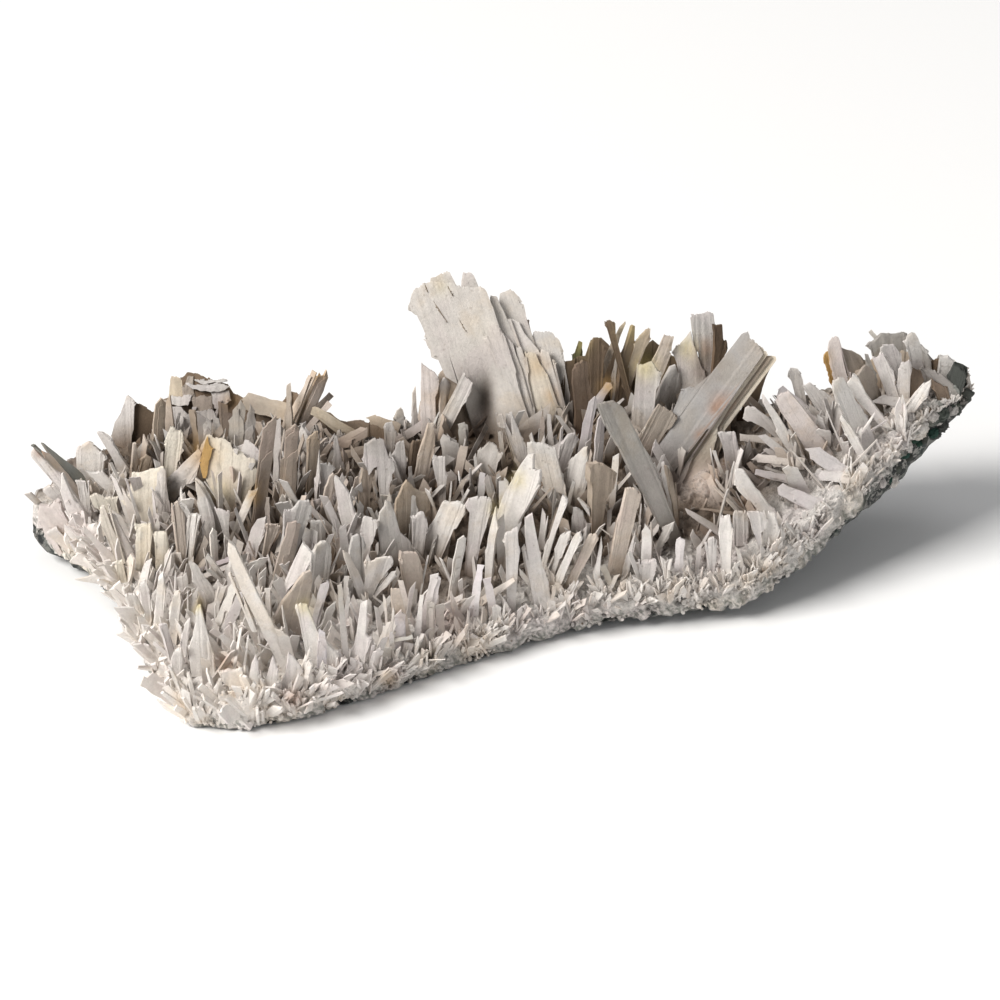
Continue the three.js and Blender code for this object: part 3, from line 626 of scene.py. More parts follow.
def quartz_material(name, streaks, specks, rough):
    """Granular quartz: its tint, with patches, sugary grain, strips along a blade and rusty specks."""
    s = bpy.context.scene.specimen_quartz
    n = Nodes(name)
    place = n.place()
    colour = n.attribute("tint")
    patches = n.noise(place, 48, 4)
    colour = n.blend("MULTIPLY", n.stepped(patches, 0.5, 0.66, 0, 0.8), colour, rgba(s.lilac))
    colour = n.blend("MULTIPLY", n.stepped(patches, 0.48, 0.34, 0, 0.8), colour, rgba(s.warm))
    blotches = n.noise(place, 190, 4, 0.6)
    colour = n.blend("MULTIPLY", 1.0, colour, n.stepped(blotches, 0.32, 0.6, 0.92, 1.02))
    grain = n.noise(place, 1 / s.grain, 5, 0.7)
    colour = n.blend("MULTIPLY", 1.0, colour, n.stepped(grain, 0.3, 0.62, 1 - rough, 1.03))
    stretch = n.new("Mapping")
    n.feed(n.attribute("flow", "Vector"), stretch.inputs["Vector"])
    stretch.inputs["Scale"].default_value = (1.0, 0.05, 0.4)
    strips = n.noise(stretch.outputs[0], 1100, 4, 0.6)
    if streaks:
        colour = n.blend("MULTIPLY", streaks, colour, n.stepped(strips, 0.32, 0.6, 0.7, 1.04))
    spots = n.new("TexVoronoi")
    n.feed(place, spots.inputs["Vector"])
    spots.inputs["Scale"].default_value = 380
    rare = n.stepped(n.noise(place, 130, 2), 0.55, 0.68)
    spot = n.times(n.stepped(spots.outputs["Distance"], 0.3, 0.12), rare)
    colour = n.blend("MIX", n.times(spot, specks), colour, rgba(s.speck))
    n.feed(colour, n.shader.inputs["Base Color"])
    n.shader.inputs["Roughness"].default_value = 0.85
    n.shader.inputs["Specular IOR Level"].default_value = 0.25
    relief = n.maths("ADD", n.times(grain, 0.7), n.times(strips, streaks))
    fine = n.noise(place, 3.2 / s.grain, 3, 0.7)
    n.raise_grain(n.maths("ADD", relief, n.times(fine, 0.4)), s.grain * (0.4 + 3.0 * rough))
    return n.material


def rock_material():
    """Dark broken host rock, with blue-green patches and quartz dust where its tint calls for them."""
    s = bpy.context.scene.specimen_rock
    n = Nodes("dark green host rock")
    place = n.place()
    parts = n.new("SeparateColor")
    n.feed(n.attribute("tint"), parts.inputs[0])
    body = n.noise(place, 150, 6, 0.65)
    colour = n.blend("MIX", n.stepped(body, 0.35, 0.65), rgba(s.dark), rgba(s.grey))
    green = n.stepped(n.noise(place, 150, 5, 0.65), 0.53, 0.62)
    colour = n.blend("MIX", n.times(green, parts.outputs[0]), colour, rgba(s.green))
    dust = n.stepped(n.noise(place, 300, 5, 0.75), 0.47, 0.56)
    colour = n.blend("MIX", n.times(dust, parts.outputs[1]), colour, rgba(s.dust))
    n.feed(colour, n.shader.inputs["Base Color"])
    n.feed(n.stepped(body, 0.3, 0.7, 0.55, 0.9), n.shader.inputs["Roughness"])
    n.raise_grain(n.noise(place, 500, 6, 0.7), 0.0012)
    return n.material


def quartz(name, **finish):
    """The quartz of this name, made when it is first asked for."""
    return bpy.data.materials.get(name) or quartz_material(name, **finish)


def blade_quartz():
    return quartz("blade quartz", streaks=0.07, specks=0.3, rough=0.07)


def crust_quartz():
    return quartz("crust quartz", streaks=0.0, specks=0.9, rough=0.35)


# Lofts and relief. Sizes and heights are in millimetres. A number added to the points only moves the
# noise to a stretch of its own.

def closed_loft(grid):
    """Faces over a grid of rings, each of which closes on itself."""
    rings, count = grid.shape[:2]
    i, j = np.meshgrid(np.arange(rings - 1), np.arange(count), indexing="ij")
    a, b = i * count + j, i * count + (j + 1) % count
    return np.stack([a, b, b + count, a + count], -1).reshape(-1, 4)


def with_ends(points, faces, grid):
    """Closes a loft's two ends with fans of narrow quads."""
    rings, count = grid.shape[:2]
    extra, caps = [], []
    for ring, turn in ((0, 1), (rings - 1, -1)):
        middle = len(points) + len(extra)
        extra.append(grid[ring].mean(0))
        a = ring * count + np.arange(0, count, 2)
        b = ring * count + (np.arange(1, count + 1, 2)) % count
        c = ring * count + (np.arange(2, count + 2, 2)) % count
        fan = np.stack([a, b, c, np.full(len(a), middle)], -1)
        caps.append(fan[:, ::-1] if turn > 0 else fan)
    return np.concatenate([points, np.array(extra)]), np.concatenate([faces, *caps])


def grid_normals(grid):
    along = np.gradient(grid, axis=0)
    around = np.roll(grid, -1, 1) - np.roll(grid, 1, 1)
    return unit(np.cross(along, around) + 1e-9).reshape(-1, 3)


def lumpy(points, size, octaves=3):
    """Soft lumps and hollows of about this size."""
    return np.array([noise.fractal(Vector(p / size), 1.0, 2.0, octaves) for p in points])


def pebbly(points, size):
    """Rounded grains: high in the middle of each cell, low between them."""
    return np.array([0.5 - noise.voronoi(Vector(p / size))[0][0] for p in points])


def free_points(grid, held):
    """1 where a loft's points may move, and 0 for the held points of each ring."""
    free = np.ones(grid.shape[1])
    free[held] = 0
    return np.tile(free, len(grid))


# The pieces.

BLADE_SEED, DRAWN_SEED, BACKING_SEED = 200, 61, 43  # the first seed of each group of pieces
CRUST_STEP, ROCK_STEP = 1.15, 1.4  # from ring to ring along X
# Shares of the depth where the seam has points.
CRUST_SEAM = (0.985, 0.9, 0.75, 0.5, 0.25, 0.1, 0.015)
ROCK_SEAM = np.linspace(1, 0, 14)[1:-1]
OVERHANG_SIZE = 9  # length along X over which the crust's overhang comes and goes
# What the crust's colour is multiplied by where dark rock shows in it.
ROCK_SPECKS = np.array([0.24, 0.27, 0.245])
ROCK_AT_END = np.array([0.16, 0.19, 0.175])


def crust_ring(x, overhang):
    """The crust's outline at one x: up the front lip, over the top, down the rear and back along the seam."""
    walls = np.linspace(0, 1, 15)
    tops = np.concatenate([np.linspace(0.0, 0.25, 52), np.linspace(0.26, 1.0, 90)])
    front_y, front_z, lip, _, back_y, back_z, rear = section_at(x)
    waver = noise.noise(Vector((x / OVERHANG_SIZE, 3.0, 0)))
    hang = overhang * (1 + smooth(-x, 150, 190)) * smooth(waver, -0.5, 0.5)
    front_hang = max(float(seam_at(x, 0.0)) + SEAM - hang, front_z + 0.6)
    back_hang = max(float(seam_at(x, 1.0)) + SEAM - hang, back_z + 0.6)
    front = [(front_y - lip_bulge(t), mix(front_hang, lip, t)) for t in walls[:-1]]
    top = [(mix(front_y, back_y, t), float(top_at(x, t))) for t in tops]
    back = [(back_y + 2.2 * math.sin(math.pi * 0.8 * t), mix(rear, back_hang, t)) for t in walls[1:]]
    under = [(mix(front_y, back_y, t), float(seam_at(x, t)) + SEAM) for t in CRUST_SEAM]
    return [(x, y, z) for y, z in reversed(front + top + back + under)]


def make_crust():
    """The granular crust: lumps, rounded grains and pores, with a lip that hangs over the rock in places."""
    s = bpy.context.scene.specimen_growth
    grid = np.array([crust_ring(x, s.overhang) for x in np.arange(LEFT_X, RIGHT_X + 0.01, CRUST_STEP)])
    points = grid.reshape(-1, 3)
    relief = 2.4 * lumpy(points, 16) + s.popcorn * pebbly(points, 4.4)
    relief += 0.6 * s.popcorn * pebbly(points + 50, 2.2)
    relief += 0.9 * lumpy(points, 2.2)
    pores = smooth(-pebbly(points + 90, 3.6), -0.42, -0.3) * smooth(lumpy(points + 30, 8), -0.1, 0.3)
    relief -= 1.8 * pores
    free = free_points(grid, slice(len(CRUST_SEAM)))
    moved = points + grid_normals(grid) * (relief * free)[:, None]
    ends = smooth(np.abs(points[:, 0] - MIDDLE_X), HALF_LENGTH - 2.5, HALF_LENGTH)[:, None]
    ring_middle = grid.mean(1, keepdims=True).repeat(grid.shape[1], 1).reshape(-1, 3)
    moved = mix(mix(moved, points, ends), ring_middle, ends * 0.25)
    moved[:, 2] = np.maximum(moved[:, 2], 0.3)
    points, faces = with_ends(moved, closed_loft(grid), moved.reshape(grid.shape))
    tint = crust_tint(points, s.seed)
    piece = make_mesh("quartz_crust", points, faces, shade_of_place(points, tint), points)
    settle(piece, crust_quartz())


def crust_tint(points, seed):
    """Chalk and dust colours, rock that shows through in specks low down, and bare rock at the right end."""
    x = points[:, 0]
    tint = whitened(points, TINTS["dust"], 1.05)
    tint *= 1 + np.random.default_rng(seed).normal(0, 0.04, (len(points), 1))
    height = points[:, 2] - seam_at(x, np.clip(share_at(x, points[:, 1]), 0, 1)) + 3 * lumpy(points + 70, 6)
    low = 1 - smooth(height + 2 * lumpy(points + 40, 4), 1, between(x, SPECKLED_HEIGHT))
    flecks = lumpy(points * 1.7 + 15, 2.2) + np.random.default_rng(seed + 9).normal(0, 0.12, len(points))
    tint = mix(tint, tint * ROCK_SPECKS, 0.85 * (smooth(flecks, -0.05, 0.2) * low)[:, None])
    stony = smooth(x + 8 * lumpy(points + 20, 12), 196, 210)
    patchy = 0.8 * smooth(lumpy(points + 10, 7) - 0.12 * height, 0.1, 0.5) * smooth(x, 130, 160)
    return mix(tint, tint * ROCK_AT_END, np.maximum(stony, patchy)[:, None])


def rock_ring(x):
    """The rock's outline at one x: down the front, along the underside, up the back and along the seam."""
    walls = np.linspace(0, 1, 11)
    front_y, front_z, _, _, back_y, back_z, _ = section_at(x)
    front_top, back_top = float(seam_at(x, 0.0)), float(seam_at(x, 1.0))
    front = [(front_y - 1.5 * math.sin(math.pi * t), mix(front_top, front_z, t)) for t in walls]
    under = [(mix(front_y, back_y, t), float(underside_at(x, t))) for t in np.linspace(0, 1, 40)[1:-1]]
    back = [(back_y + 1.5 * math.sin(math.pi * t), mix(back_z, back_top, t)) for t in walls]
    seam = [(mix(front_y, back_y, t), float(seam_at(x, t))) for t in ROCK_SEAM]
    return [(x, y, z) for y, z in front + under + back + seam]


def make_rock():
    """The slab of host rock: broken sides, a flat rest and a seam under the crust."""
    grid = np.array([rock_ring(x) for x in np.arange(LEFT_X, RIGHT_X + 0.01, ROCK_STEP)])
    points = grid.reshape(-1, 3)
    normals = grid_normals(grid)
    relief = 1.4 * lumpy(points, 9, 4) + 1.8 * pebbly(points, 6)
    free = free_points(grid, slice(-len(ROCK_SEAM), None))
    moved = points + normals * (relief * free)[:, None]
    flat = (points[:, 2] < 0.5) & (normals[:, 2] < -0.7)
    moved[:, 2] = np.where(flat, points[:, 2], np.maximum(moved[:, 2], 0.0))
    points, faces = with_ends(moved, closed_loft(grid), moved.reshape(grid.shape))
    x = points[:, 0]
    green = np.maximum(0.7 * smooth(x, 140, 170), 0.4)
    height = points[:, 2] - underside_at(x, np.clip(share_at(x, points[:, 1]), 0, 1))
    dust = mix(0.95, 0.75, smooth(x, 130, 185)) * mix(0.45, 1.0, smooth(height, 0, 6))
    tint = np.stack([green, dust, np.zeros(len(x))], -1)
    piece = make_mesh("host_rock_slab", points, faces, tint, points)
    settle(piece, rock_material(), "host_rock")


def make_blades(group, seed):
    """The blades of one region, each at its own place."""
    plates = Plates(seed)
    rng = plates.rng
    for row in BLADES[group]:
        foot, axis, length, facing, root = placed(row)
        width, peak = row[4], row[6]
        base = TINTS[row[7] if len(row) > 7 else GROUP_TINTS[group]]
        tint = base * rng.normal(1, 0.09) * np.array([1, rng.normal(1, 0.01), rng.normal(1, 0.03)])
        plates.blade(foot, axis, facing, width, length, blade_thickness(width), root, peak, tint)
    settle(plates.mesh("blades_" + group), blade_quartz())


CHIP = 0.28  # how deep the broken edges are chipped
CRACK_CHIP = 0.04
CHIP_STEP = 1.6


def chipped(outline, rng, chip=CHIP):
    """An outline with small chips broken out of it."""
    pieces = []
    for here, there in zip(outline, np.roll(outline, -1, 0)):
        count = max(int(np.linalg.norm(there - here) / CHIP_STEP), 1)
        run = here + (there - here) * (np.arange(count) / count)[:, None]
        pieces.append(run + rng.normal(0, chip, (count, 2)))
    return np.concatenate(pieces)


SIDE_STRIP = 0.6  # width of the finest strips, at a plate's two sides


def cut_strips(along, across, rng, uneven, widest):
    """Cuts an outline into strips, finest at its sides: where each stands, its ends and how far it is out."""
    left, right = across.min() + 0.1, across.max() - 0.1
    fine = min(3.0, (right - left) / 3)
    cuts = list(np.arange(left, left + fine, SIDE_STRIP))
    while cuts[-1] < right - fine:
        cuts.append(min(cuts[-1] + widest * rng.uniform(0.4, 1), right - fine))
    cuts += [*np.arange(right - fine + SIDE_STRIP, right - SIDE_STRIP / 2, SIDE_STRIP), right]
    at = np.repeat(cuts, 2)[1:-1]
    at[1:-1] += np.tile([-Plates.HAIRLINE, Plates.HAIRLINE], len(cuts) - 2)
    start, end = np.array([crossing(along, across, line) for line in at]).T
    end -= np.repeat(np.abs(rng.normal(0, 0.3, len(cuts) - 1)), 2)
    return at, start, np.maximum(end, start + 0.5), np.repeat(rng.normal(0, uneven, len(cuts) - 1), 2)


def crossing(along, across, line):
    """The longest run that a straight line has inside an outline, measured along."""
    met = []
    for k in range(len(along)):
        a, b = across[k - 1], across[k]
        if (a - line) * (b - line) < 0:
            met.append(along[k - 1] + (along[k] - along[k - 1]) * (line - a) / (b - a))
    met.sort()
    return max(zip(met[::2], met[1::2]), key=lambda run: run[1] - run[0])


def drawn_as_row(corner, grid, drawn):
    """Foot, tip, width, turn and peak of a drawn plate, measured across and up."""
    points, foot, tip, turn = drawn[:4]
    foot, tip = (np.array(corner) + np.array(v) * (grid, -grid) for v in (foot, tip))
    side = unit(np.array([tip[1] - foot[1], foot[0] - tip[0]]))
    wide = np.ptp(np.array(points) * (grid, -grid) @ side)
    return (*foot, *tip, 0.8 * wide, turn, 0)


DRAWN_ROOT = 5  # a drawn plate reaches at most this far below its foot


def make_drawn_plates(name, corner, grid, drawn_plates, seed):
    """Plates that keep a drawn outline and grow the way the crust makes them lean."""
    plates = Plates(seed)
    rng = plates.rng
    for drawn in drawn_plates:
        points, _, _, _, thick, colour = drawn
        outline = chipped(np.array(corner) + np.array(points) * (grid, -grid), rng)
        foot, axis, _, facing, root = placed(drawn_as_row(corner, grid, drawn))
        wide = np.cross(axis, facing)
        base, up_axis, to_side = np.array(as_seen(np.array([foot, foot + axis, foot + wide]))).T
        along, across = np.linalg.solve(np.stack([up_axis - base, to_side - base], 1), (outline - base).T)
        at, start, end, out = cut_strips(along, across, rng, uneven=0.035, widest=2.6)
        low = along.min()
        start = np.where(start - low < 0.3 * (along.max() - low), min(low, 0) - min(root, DRAWN_ROOT), start)
        plates.plate(
            14, foot, axis, facing, at, start, end, out, thick, bow=0, widen=1, ragged=0.25,
            tint=TINTS[colour] * rng.normal(1, 0.04),
        )
    settle(plates.mesh(name), blade_quartz())


def make_sheets(name, sheets, foot, seed, press=None, uneven=0.03, widest=2.2):
    """A stack of sheets one behind the other, each of strips that run the way the sheet leans."""
    plates = Plates(seed)
    rng = plates.rng
    ups = foot[1] - np.arange(0, 60, 2.0)
    feet = first_sight(np.full(len(ups), float(foot[0])), ups, 0)
    reach = np.dot(feet[(~np.isnan(feet[:, 0])).argmax()], TOWARDS_EYE)
    for outline, (lean, thick, back), colour in sheets:
        way = np.array([math.sin(math.radians(lean)), math.cos(math.radians(lean))])
        edge = chipped(np.array(outline, float), rng, CRACK_CHIP if colour == "crack" else CHIP)
        along, across = edge @ way, edge @ (way[1], -way[0])
        scale = 1 - (reach - back) / EYE_DISTANCE
        at, start, end, out = cut_strips(along, across, rng, uneven, widest)
        base = TOWARDS_EYE * (reach - back) + UP * AIM_UP * (1 - scale)
        plates.plate(
            22, base, ACROSS * way[0] + UP * way[1], TOWARDS_EYE, at * scale, start * scale, end * scale, out,
            thick, bow=0, widen=1, ragged=0.5, tint=TINTS[colour] * rng.normal(1, 0.02),
        )
    settle(plates.mesh(name, press), blade_quartz())


# Each sheet: its outline across and up, then how far it leans, its thickness and how far back it stands.
FAN = [
    ([(-10, 139), (-3, 137.5), (0, 135), (5, 121), (9, 107), (14, 92), (18, 76), (8, 102), (1, 114),
     (-9, 135)], (-22, 3.7, 0.0), "card"),
    ([(10, 76), (2, 110), (-1, 136), (3, 131), (6, 128), (9, 119), (13, 105), (20, 76)], (-14, 2.0, 1.1),
     "card"),
    ([(14, 76), (7, 127), (10, 126), (18, 90), (22, 76)], (-14, 2.0, 2.2), "card"),
    ([(16, 76), (11, 125), (16, 124), (20, 117), (24, 106), (30, 84), (30, 76)], (-16, 2.2, 3.3),
     "warm card"),
    ([(-6, 76), (-13, 84), (-17, 94), (-19, 103), (-19, 109), (-22, 110.5), (-26.3, 114), (-27.5, 118),
     (-28.2, 121.8), (-30, 122.2), (-32.6, 122), (-32, 125), (-33.2, 128.5), (-33.6, 133), (-36.3, 137),
     (-37.2, 139.5), (-41, 143), (-42, 146), (-41, 150), (-39.5, 153.5), (-35, 156), (-31, 156.5),
     (-22, 156), (-17.5, 154.5), (-8, 154), (-5, 150), (0, 136), (8, 110), (13, 90), (18, 76)],
     (-17, 3.0, 0.0), "card"),
    ([(-26, 120), (-32.6, 122), (-32, 125), (-33.5, 128.5), (-33.7, 133.4), (-30, 136), (-26, 130)],
     (0, 2.2, 0.4), "card"),
    ([(-35, 155.3), (-34.6, 155.5), (-33.2, 151.6), (-33.5, 151.4)], (-20, 3.3, 0), "crack"),
    ([(-31.4, 148.1), (-31, 148.4), (-24.1, 137.9), (-24.4, 137.6)], (-33, 3.3, 0), "crack"),
    ([(-24.4, 154.4), (-24.1, 154.6), (-21.8, 149.9), (-22.1, 149.7)], (-26, 3.3, 0), "crack"),
    ([(-19.8, 140.3), (-19.4, 140.5), (-15.5, 133.4), (-15.9, 133.2)], (-29, 3.3, 0), "crack"),
    ([(-27.5, 78), (-30.5, 90), (-30, 104), (-29, 113.5), (-22, 120), (-12, 116), (-4, 92), (-4, 78)],
     (-4, 2.4, 2.8), "tan"),
    ([(16, 84), (8, 100), (-5, 138), (-4.6, 150.5), (-0.5, 149.5), (8, 128), (16, 104), (22, 84)],
     (-21, 2.2, 4.1), "card"),
    ([(22, 84), (4, 130), (3.5, 139.5), (8, 139), (12, 132), (17.5, 126), (28, 106), (32, 84)],
     (-20, 2.4, 6.1), "pale card"),
    ([(-10, 110), (-34, 146), (-32, 158), (-24, 161.5), (-22, 160), (-20, 155), (-4, 130)], (-26, 2.0, 3.7),
     "card"),
    ([(0, 110), (-18, 150), (-17.8, 160), (-17, 160.8), (-13, 161), (-10, 155), (4, 120)], (-20, 2.4, 5.0),
     "card"),
    ([(16, 84), (-2, 134), (0, 151), (5, 153.5), (9, 149), (30, 84)], (-20, 2.6, 8.8), "card"),
    # A small dark sheet set deep in the gap between two sheets: painted shade of the gap.
    ([(10, 131), (10, 137), (12, 138.5), (15, 130), (18, 120), (14, 122)], (-20, 2.0, 10.1), "umber"),
    ([(26, 76), (18, 120), (18, 125.5), (22.5, 125), (25, 120), (27, 110), (33, 90), (35, 76)],
     (-15, 2.0, 5.0), "pale card"),
    ([(22, 76), (14, 124), (15.5, 134), (24, 133.5), (27.5, 128), (32, 106), (35, 95), (38, 76)],
     (-14, 2.4, 9.4), "dust"),
]
TONGUE = [
    ([(-136.5, 66), (-137.4, 72), (-136.6, 80), (-134.6, 86), (-133.4, 80), (-133.5, 72), (-135, 66)],
     (0, 1.0, -1.7), "ochre"),
    ([(-126, 36), (-130, 55), (-134, 64), (-137, 69), (-137.5, 78), (-136, 84), (-134, 87), (-130, 85),
     (-126, 84), (-124, 82.5), (-122.5, 79), (-121, 80), (-118, 78), (-117, 76), (-112.5, 75.5), (-112, 70),
     (-113, 63), (-117, 55), (-121, 45), (-122, 36)], (4, 2.4, 0), "cream"),
    ([(-116, 60), (-124, 78), (-122, 81.5), (-119, 79), (-118, 84), (-115.5, 84), (-111, 80), (-110, 76),
     (-112, 70), (-113, 60)], (8, 2.4, 3.6), "ash"),
]
HUMP = [
    ([(-176, 74), (-178.5, 88), (-175, 95), (-171.5, 104.5), (-169, 103), (-168, 100), (-169, 84),
     (-170, 74)], (-2, 3.4, 0), "ash"),
    ([(-171, 74), (-170, 103), (-160.5, 97.5), (-157, 97), (-155, 94), (-155.5, 88), (-158, 85), (-163, 84),
     (-164, 74)], (-2, 2.6, 2.4), "bark"),
]
BROAD_PLATE = [
    ([(-166, 36), (-167, 50), (-170, 51.5), (-174, 56), (-169.5, 61), (-172, 65), (-172, 68), (-168.5, 69),
     (-163.5, 69.5), (-154.5, 72), (-154.5, 59), (-153.5, 51), (-158, 36)], (2, 2.8, 0), "cream"),
    ([(-157.5, 40), (-157.5, 69), (-155.6, 71.6), (-153.4, 70), (-153, 52), (-154, 40)], (1, 2.0, -2.2),
     "ash"),
]
NEST = [
    ([(-145.4, 100), (-145.8, 112.3), (-143.7, 115.2), (-138.2, 114), (-131.7, 111.7), (-131.5, 109),
     (-133, 100)], (4, 2.6, -1.4), "cocoa"),
    ([(-151.8, 101), (-152, 113.2), (-149.9, 113.6), (-146.4, 111.7), (-142.9, 107), (-145.8, 104.1),
     (-147, 101)], (-8, 2.2, -1.2), "straw"),
    ([(-145.2, 103), (-145.5, 108), (-143.4, 113.4), (-140.6, 112.6), (-141.4, 103)], (10, 2.2, -2.4),
     "taupe"),
    ([(-139.6, 111.1), (-126.4, 111.9), (-126.2, 110.3), (-137.6, 109.4)], (8, 2.2, -3.2), "dust"),
    ([(-144, 109.4), (-141, 109.2), (-127, 109.8), (-124.7, 107.6), (-128.2, 105.8), (-139.9, 106.4),
     (-142.9, 107.9)], (0, 2.2, -4.6), "dust"),
    ([(-152.3, 100), (-152.3, 104.2), (-143.2, 104.5), (-143, 99.8), (-148, 99)], (0, 2.6, -4.2), "chalk"),
    ([(-141.5, 96), (-141.2, 104), (-132.4, 104.2), (-133, 97.6)], (4, 2.4, -3.6), "taupe"),
    ([(-131.8, 98), (-131.8, 106.6), (-124.6, 106.6), (-124.2, 101.8), (-128, 98)], (0, 2.4, -3.4), "ash"),
    ([(-140.6, 92), (-140.4, 97.4), (-132.2, 98), (-131.6, 94.6), (-133, 92), (-137, 91)], (0, 3.0, -6.4),
     "ash"),
    ([(-156.4, 84), (-157.6, 88), (-156.4, 93), (-157.6, 101), (-155.2, 103.6), (-152.2, 102.4),
     (-151.6, 97), (-153, 90), (-153.4, 84)], (6, 2.4, -3.0), "putty"),
    ([(-149, 82), (-149.4, 91), (-151, 98.8), (-147, 99.4), (-143.5, 95.4), (-140.6, 98.4), (-142, 82)],
     (0, 2.2, -5.6), "ash"),
    ([(-137, 82), (-137, 87), (-134, 91), (-131, 96), (-129.4, 102), (-126.4, 102.4), (-127.6, 97),
     (-130.4, 92), (-131, 82)], (22, 2.0, -5.8), "ash"),
    ([(-144.6, 80), (-144.6, 85.4), (-140, 88), (-138, 85.4), (-139, 80)], (0, 2.0, -7.6), "tan"),
]
BACKING = [
    ([(-156, 78), (-157, 101), (-152, 103), (-151, 106), (-146, 108), (-144.5, 112.5), (-143, 114),
     (-137, 112), (-130, 110.5), (-126, 110.5), (-124, 106), (-114, 101), (-108, 102.5), (-101, 101),
     (-100, 84), (-120, 78)], (2, 3.0, 0), "umber"),
    ([(-102, 80), (-102, 100), (-95, 107), (-88, 100), (-80, 97), (-72, 92), (-66, 93), (-60, 92), (-50, 91),
     (-42, 88), (-42, 76)], (-3, 3.0, -2), "umber"),
    # The bark-brown sheet behind the fan is partly dark brown rock and partly painted shade of the fan's
    # shadow.
    ([(27, 92), (29, 120), (33, 120), (37, 122.5), (40, 122.5), (41, 129), (45, 131.5), (50, 128), (54, 122),
     (58, 126), (63, 124), (70, 130), (80, 122), (88, 120), (96, 122), (104, 120), (108, 112), (108, 96)],
     (2, 3.0, 3), "bark"),
    ([(158, 100), (160, 114), (168, 118), (172, 122), (182, 126), (192, 124), (200, 118), (206, 116),
     (206, 98)], (2, 3.0, 2), "tan"),
    ([(38.6, 135.6), (37.6, 124), (36.6, 118), (33.2, 118), (33.4, 121), (37, 132)], (14, 1.6, 5), "moss"),
]
# Where each backing sheet meets the crust, across and up.
BACKING_FEET = ((-128, 88), (-72, 84), (72, 106), (184, 106), (72, 106))
GREAT_BLADE = [
    ([(70, 58), (67, 77), (73, 85), (82.5, 94.5), (79.5, 96.5), (82.5, 103), (83.5, 107), (89.5, 108.7),
     (96, 112.6), (98, 116), (111, 132.6), (114, 133.4), (115, 130.7), (118, 128.7), (120.5, 125.5),
     (123, 121), (119.5, 115.8), (110.5, 106.8), (108, 101.6), (96, 88.7), (92, 86), (86, 68), (82, 58)],
     (36, 2.4, 0), "shale"),
    ([(80, 58), (79, 80), (92, 100), (114, 130), (121.5, 126), (124.4, 121.5), (121, 115.6), (112, 106),
     (101, 92), (94, 58)], (38, 1.1, 1.2), "cream"),
    ([(84, 58), (84, 80), (96, 100), (117, 126), (125.6, 121.5), (122.6, 115), (113, 104.6), (102, 91),
     (97, 58)], (38, 0.9, 2.6), "taupe"),
    ([(84, 58), (84, 80), (96, 100), (117, 124), (127.5, 121.8), (126.5, 116.5), (115, 103.4), (104, 90),
     (97, 58)], (38, 1.1, 3.8), "cream"),
]

# Plates drawn one by one, region by region. An outline is counted in grid steps to the right of its region's
# corner and down from it. Then come foot, tip, turn, thickness and colour.
LEFT_END_PLATES = [
    ([(2, 67), (6, 64), (12, 66), (20, 74), (37, 86), (38, 90), (36, 99), (30, 90), (11, 70)], (40, 100),
     (5, 66), 35, 2, "slate green"),
    ([(8, 69), (11, 70), (17, 75), (25, 84), (34, 96), (36, 104), (33, 106), (20, 87), (12, 78)], (37, 107),
     (10, 70), 25, 2, "putty"),
    ([(0, 74), (4, 69), (8, 74), (23, 88), (29, 99), (34, 106), (30, 111), (24, 102), (16, 94), (10, 85)],
     (34, 111), (3, 71), -12, 2.6, "ash"),
    ([(36, 70), (48, 62), (52, 68), (58, 74), (60, 78), (54, 84), (45, 88), (38, 86)], (44, 90), (44, 65), 0,
     2.4, "chalk"),
    ([(48, 57), (56, 56), (62, 59), (72, 76), (77, 82), (70, 90), (64, 76), (56, 64), (50, 62)], (74, 88),
     (50, 57), -20, 2, "ash"),
    ([(43, 86), (56, 88), (64, 95), (70, 104), (68, 106), (60, 101), (50, 93)], (69, 106), (45, 86), -10, 3,
     "chalk"),
    ([(36, 95), (45, 95), (46, 116), (44, 119), (40, 112), (38, 101)], (44, 120), (41, 94), 12, 2, "chalk"),
    ([(24, 89), (28, 88), (33, 106), (40, 115), (45, 126), (44, 131), (30, 120), (25, 106)], (43, 131),
     (26, 88), -18, 3, "chalk"),
    ([(10, 103), (14, 98), (20, 98), (28, 112), (20, 111)], (27, 113), (14, 98), 0, 3, "ash"),
    ([(8, 113), (11, 115), (15, 114), (23, 110), (29, 124), (34, 139), (29, 140), (20, 131), (13, 139),
     (9, 130), (6, 120)], (31, 141), (10, 114), -25, 3, "blush"),
    ([(12, 136), (20, 131), (28, 139), (36, 143), (40, 150), (33, 153)], (39, 153), (14, 136), -10, 3,
     "ash"),
    ([(47, 107), (52, 104), (60, 108), (69, 108), (68, 115), (64, 121), (59, 120), (50, 114)], (61, 122),
     (56, 106), 0, 2.4, "warm"),
    ([(59, 122), (65, 120), (70, 129), (78, 147), (73, 149)], (76, 149), (62, 120), 10, 2.4, "chalk"),
    ([(106, 64), (110, 52), (120, 57), (119, 70), (115, 86), (106, 91)], (108, 99), (113, 53), 0, 2.6,
     "warm"),
    ([(108, 93), (114, 88), (123, 78), (128, 68), (134, 70), (135, 80), (129, 95), (118, 100), (111, 106),
     (108, 103)], (110, 104), (132, 70), -10, 2.4, "ash"),
    ([(124, 122), (129, 120), (133, 122), (131, 135), (127, 148), (123, 152), (122, 140)], (124, 153),
     (130, 120), 0, 2.4, "chalk"),
    ([(129, 94), (131, 94), (139, 108), (143, 118), (142, 138), (137, 135), (132, 115)], (140, 139),
     (130, 94), -5, 2, "chalk"),
    ([(82, 129), (95, 128), (94, 142), (92, 153), (86, 150)], (89, 154), (88, 129), 0, 2.6, "warm"),
    ([(98, 135), (108, 134), (108, 150), (106, 157), (99, 154)], (103, 157), (104, 135), 0, 2.6, "warm"),
    ([(80, 65), (84, 64), (85, 80), (83, 88), (78, 88), (80, 78)], (81, 90), (82, 64), 20, 2, "putty"),
    ([(86, 78), (94, 72), (96, 78), (96, 85), (88, 86)], (90, 88), (94, 74), 25, 1.6, "tan"),
]
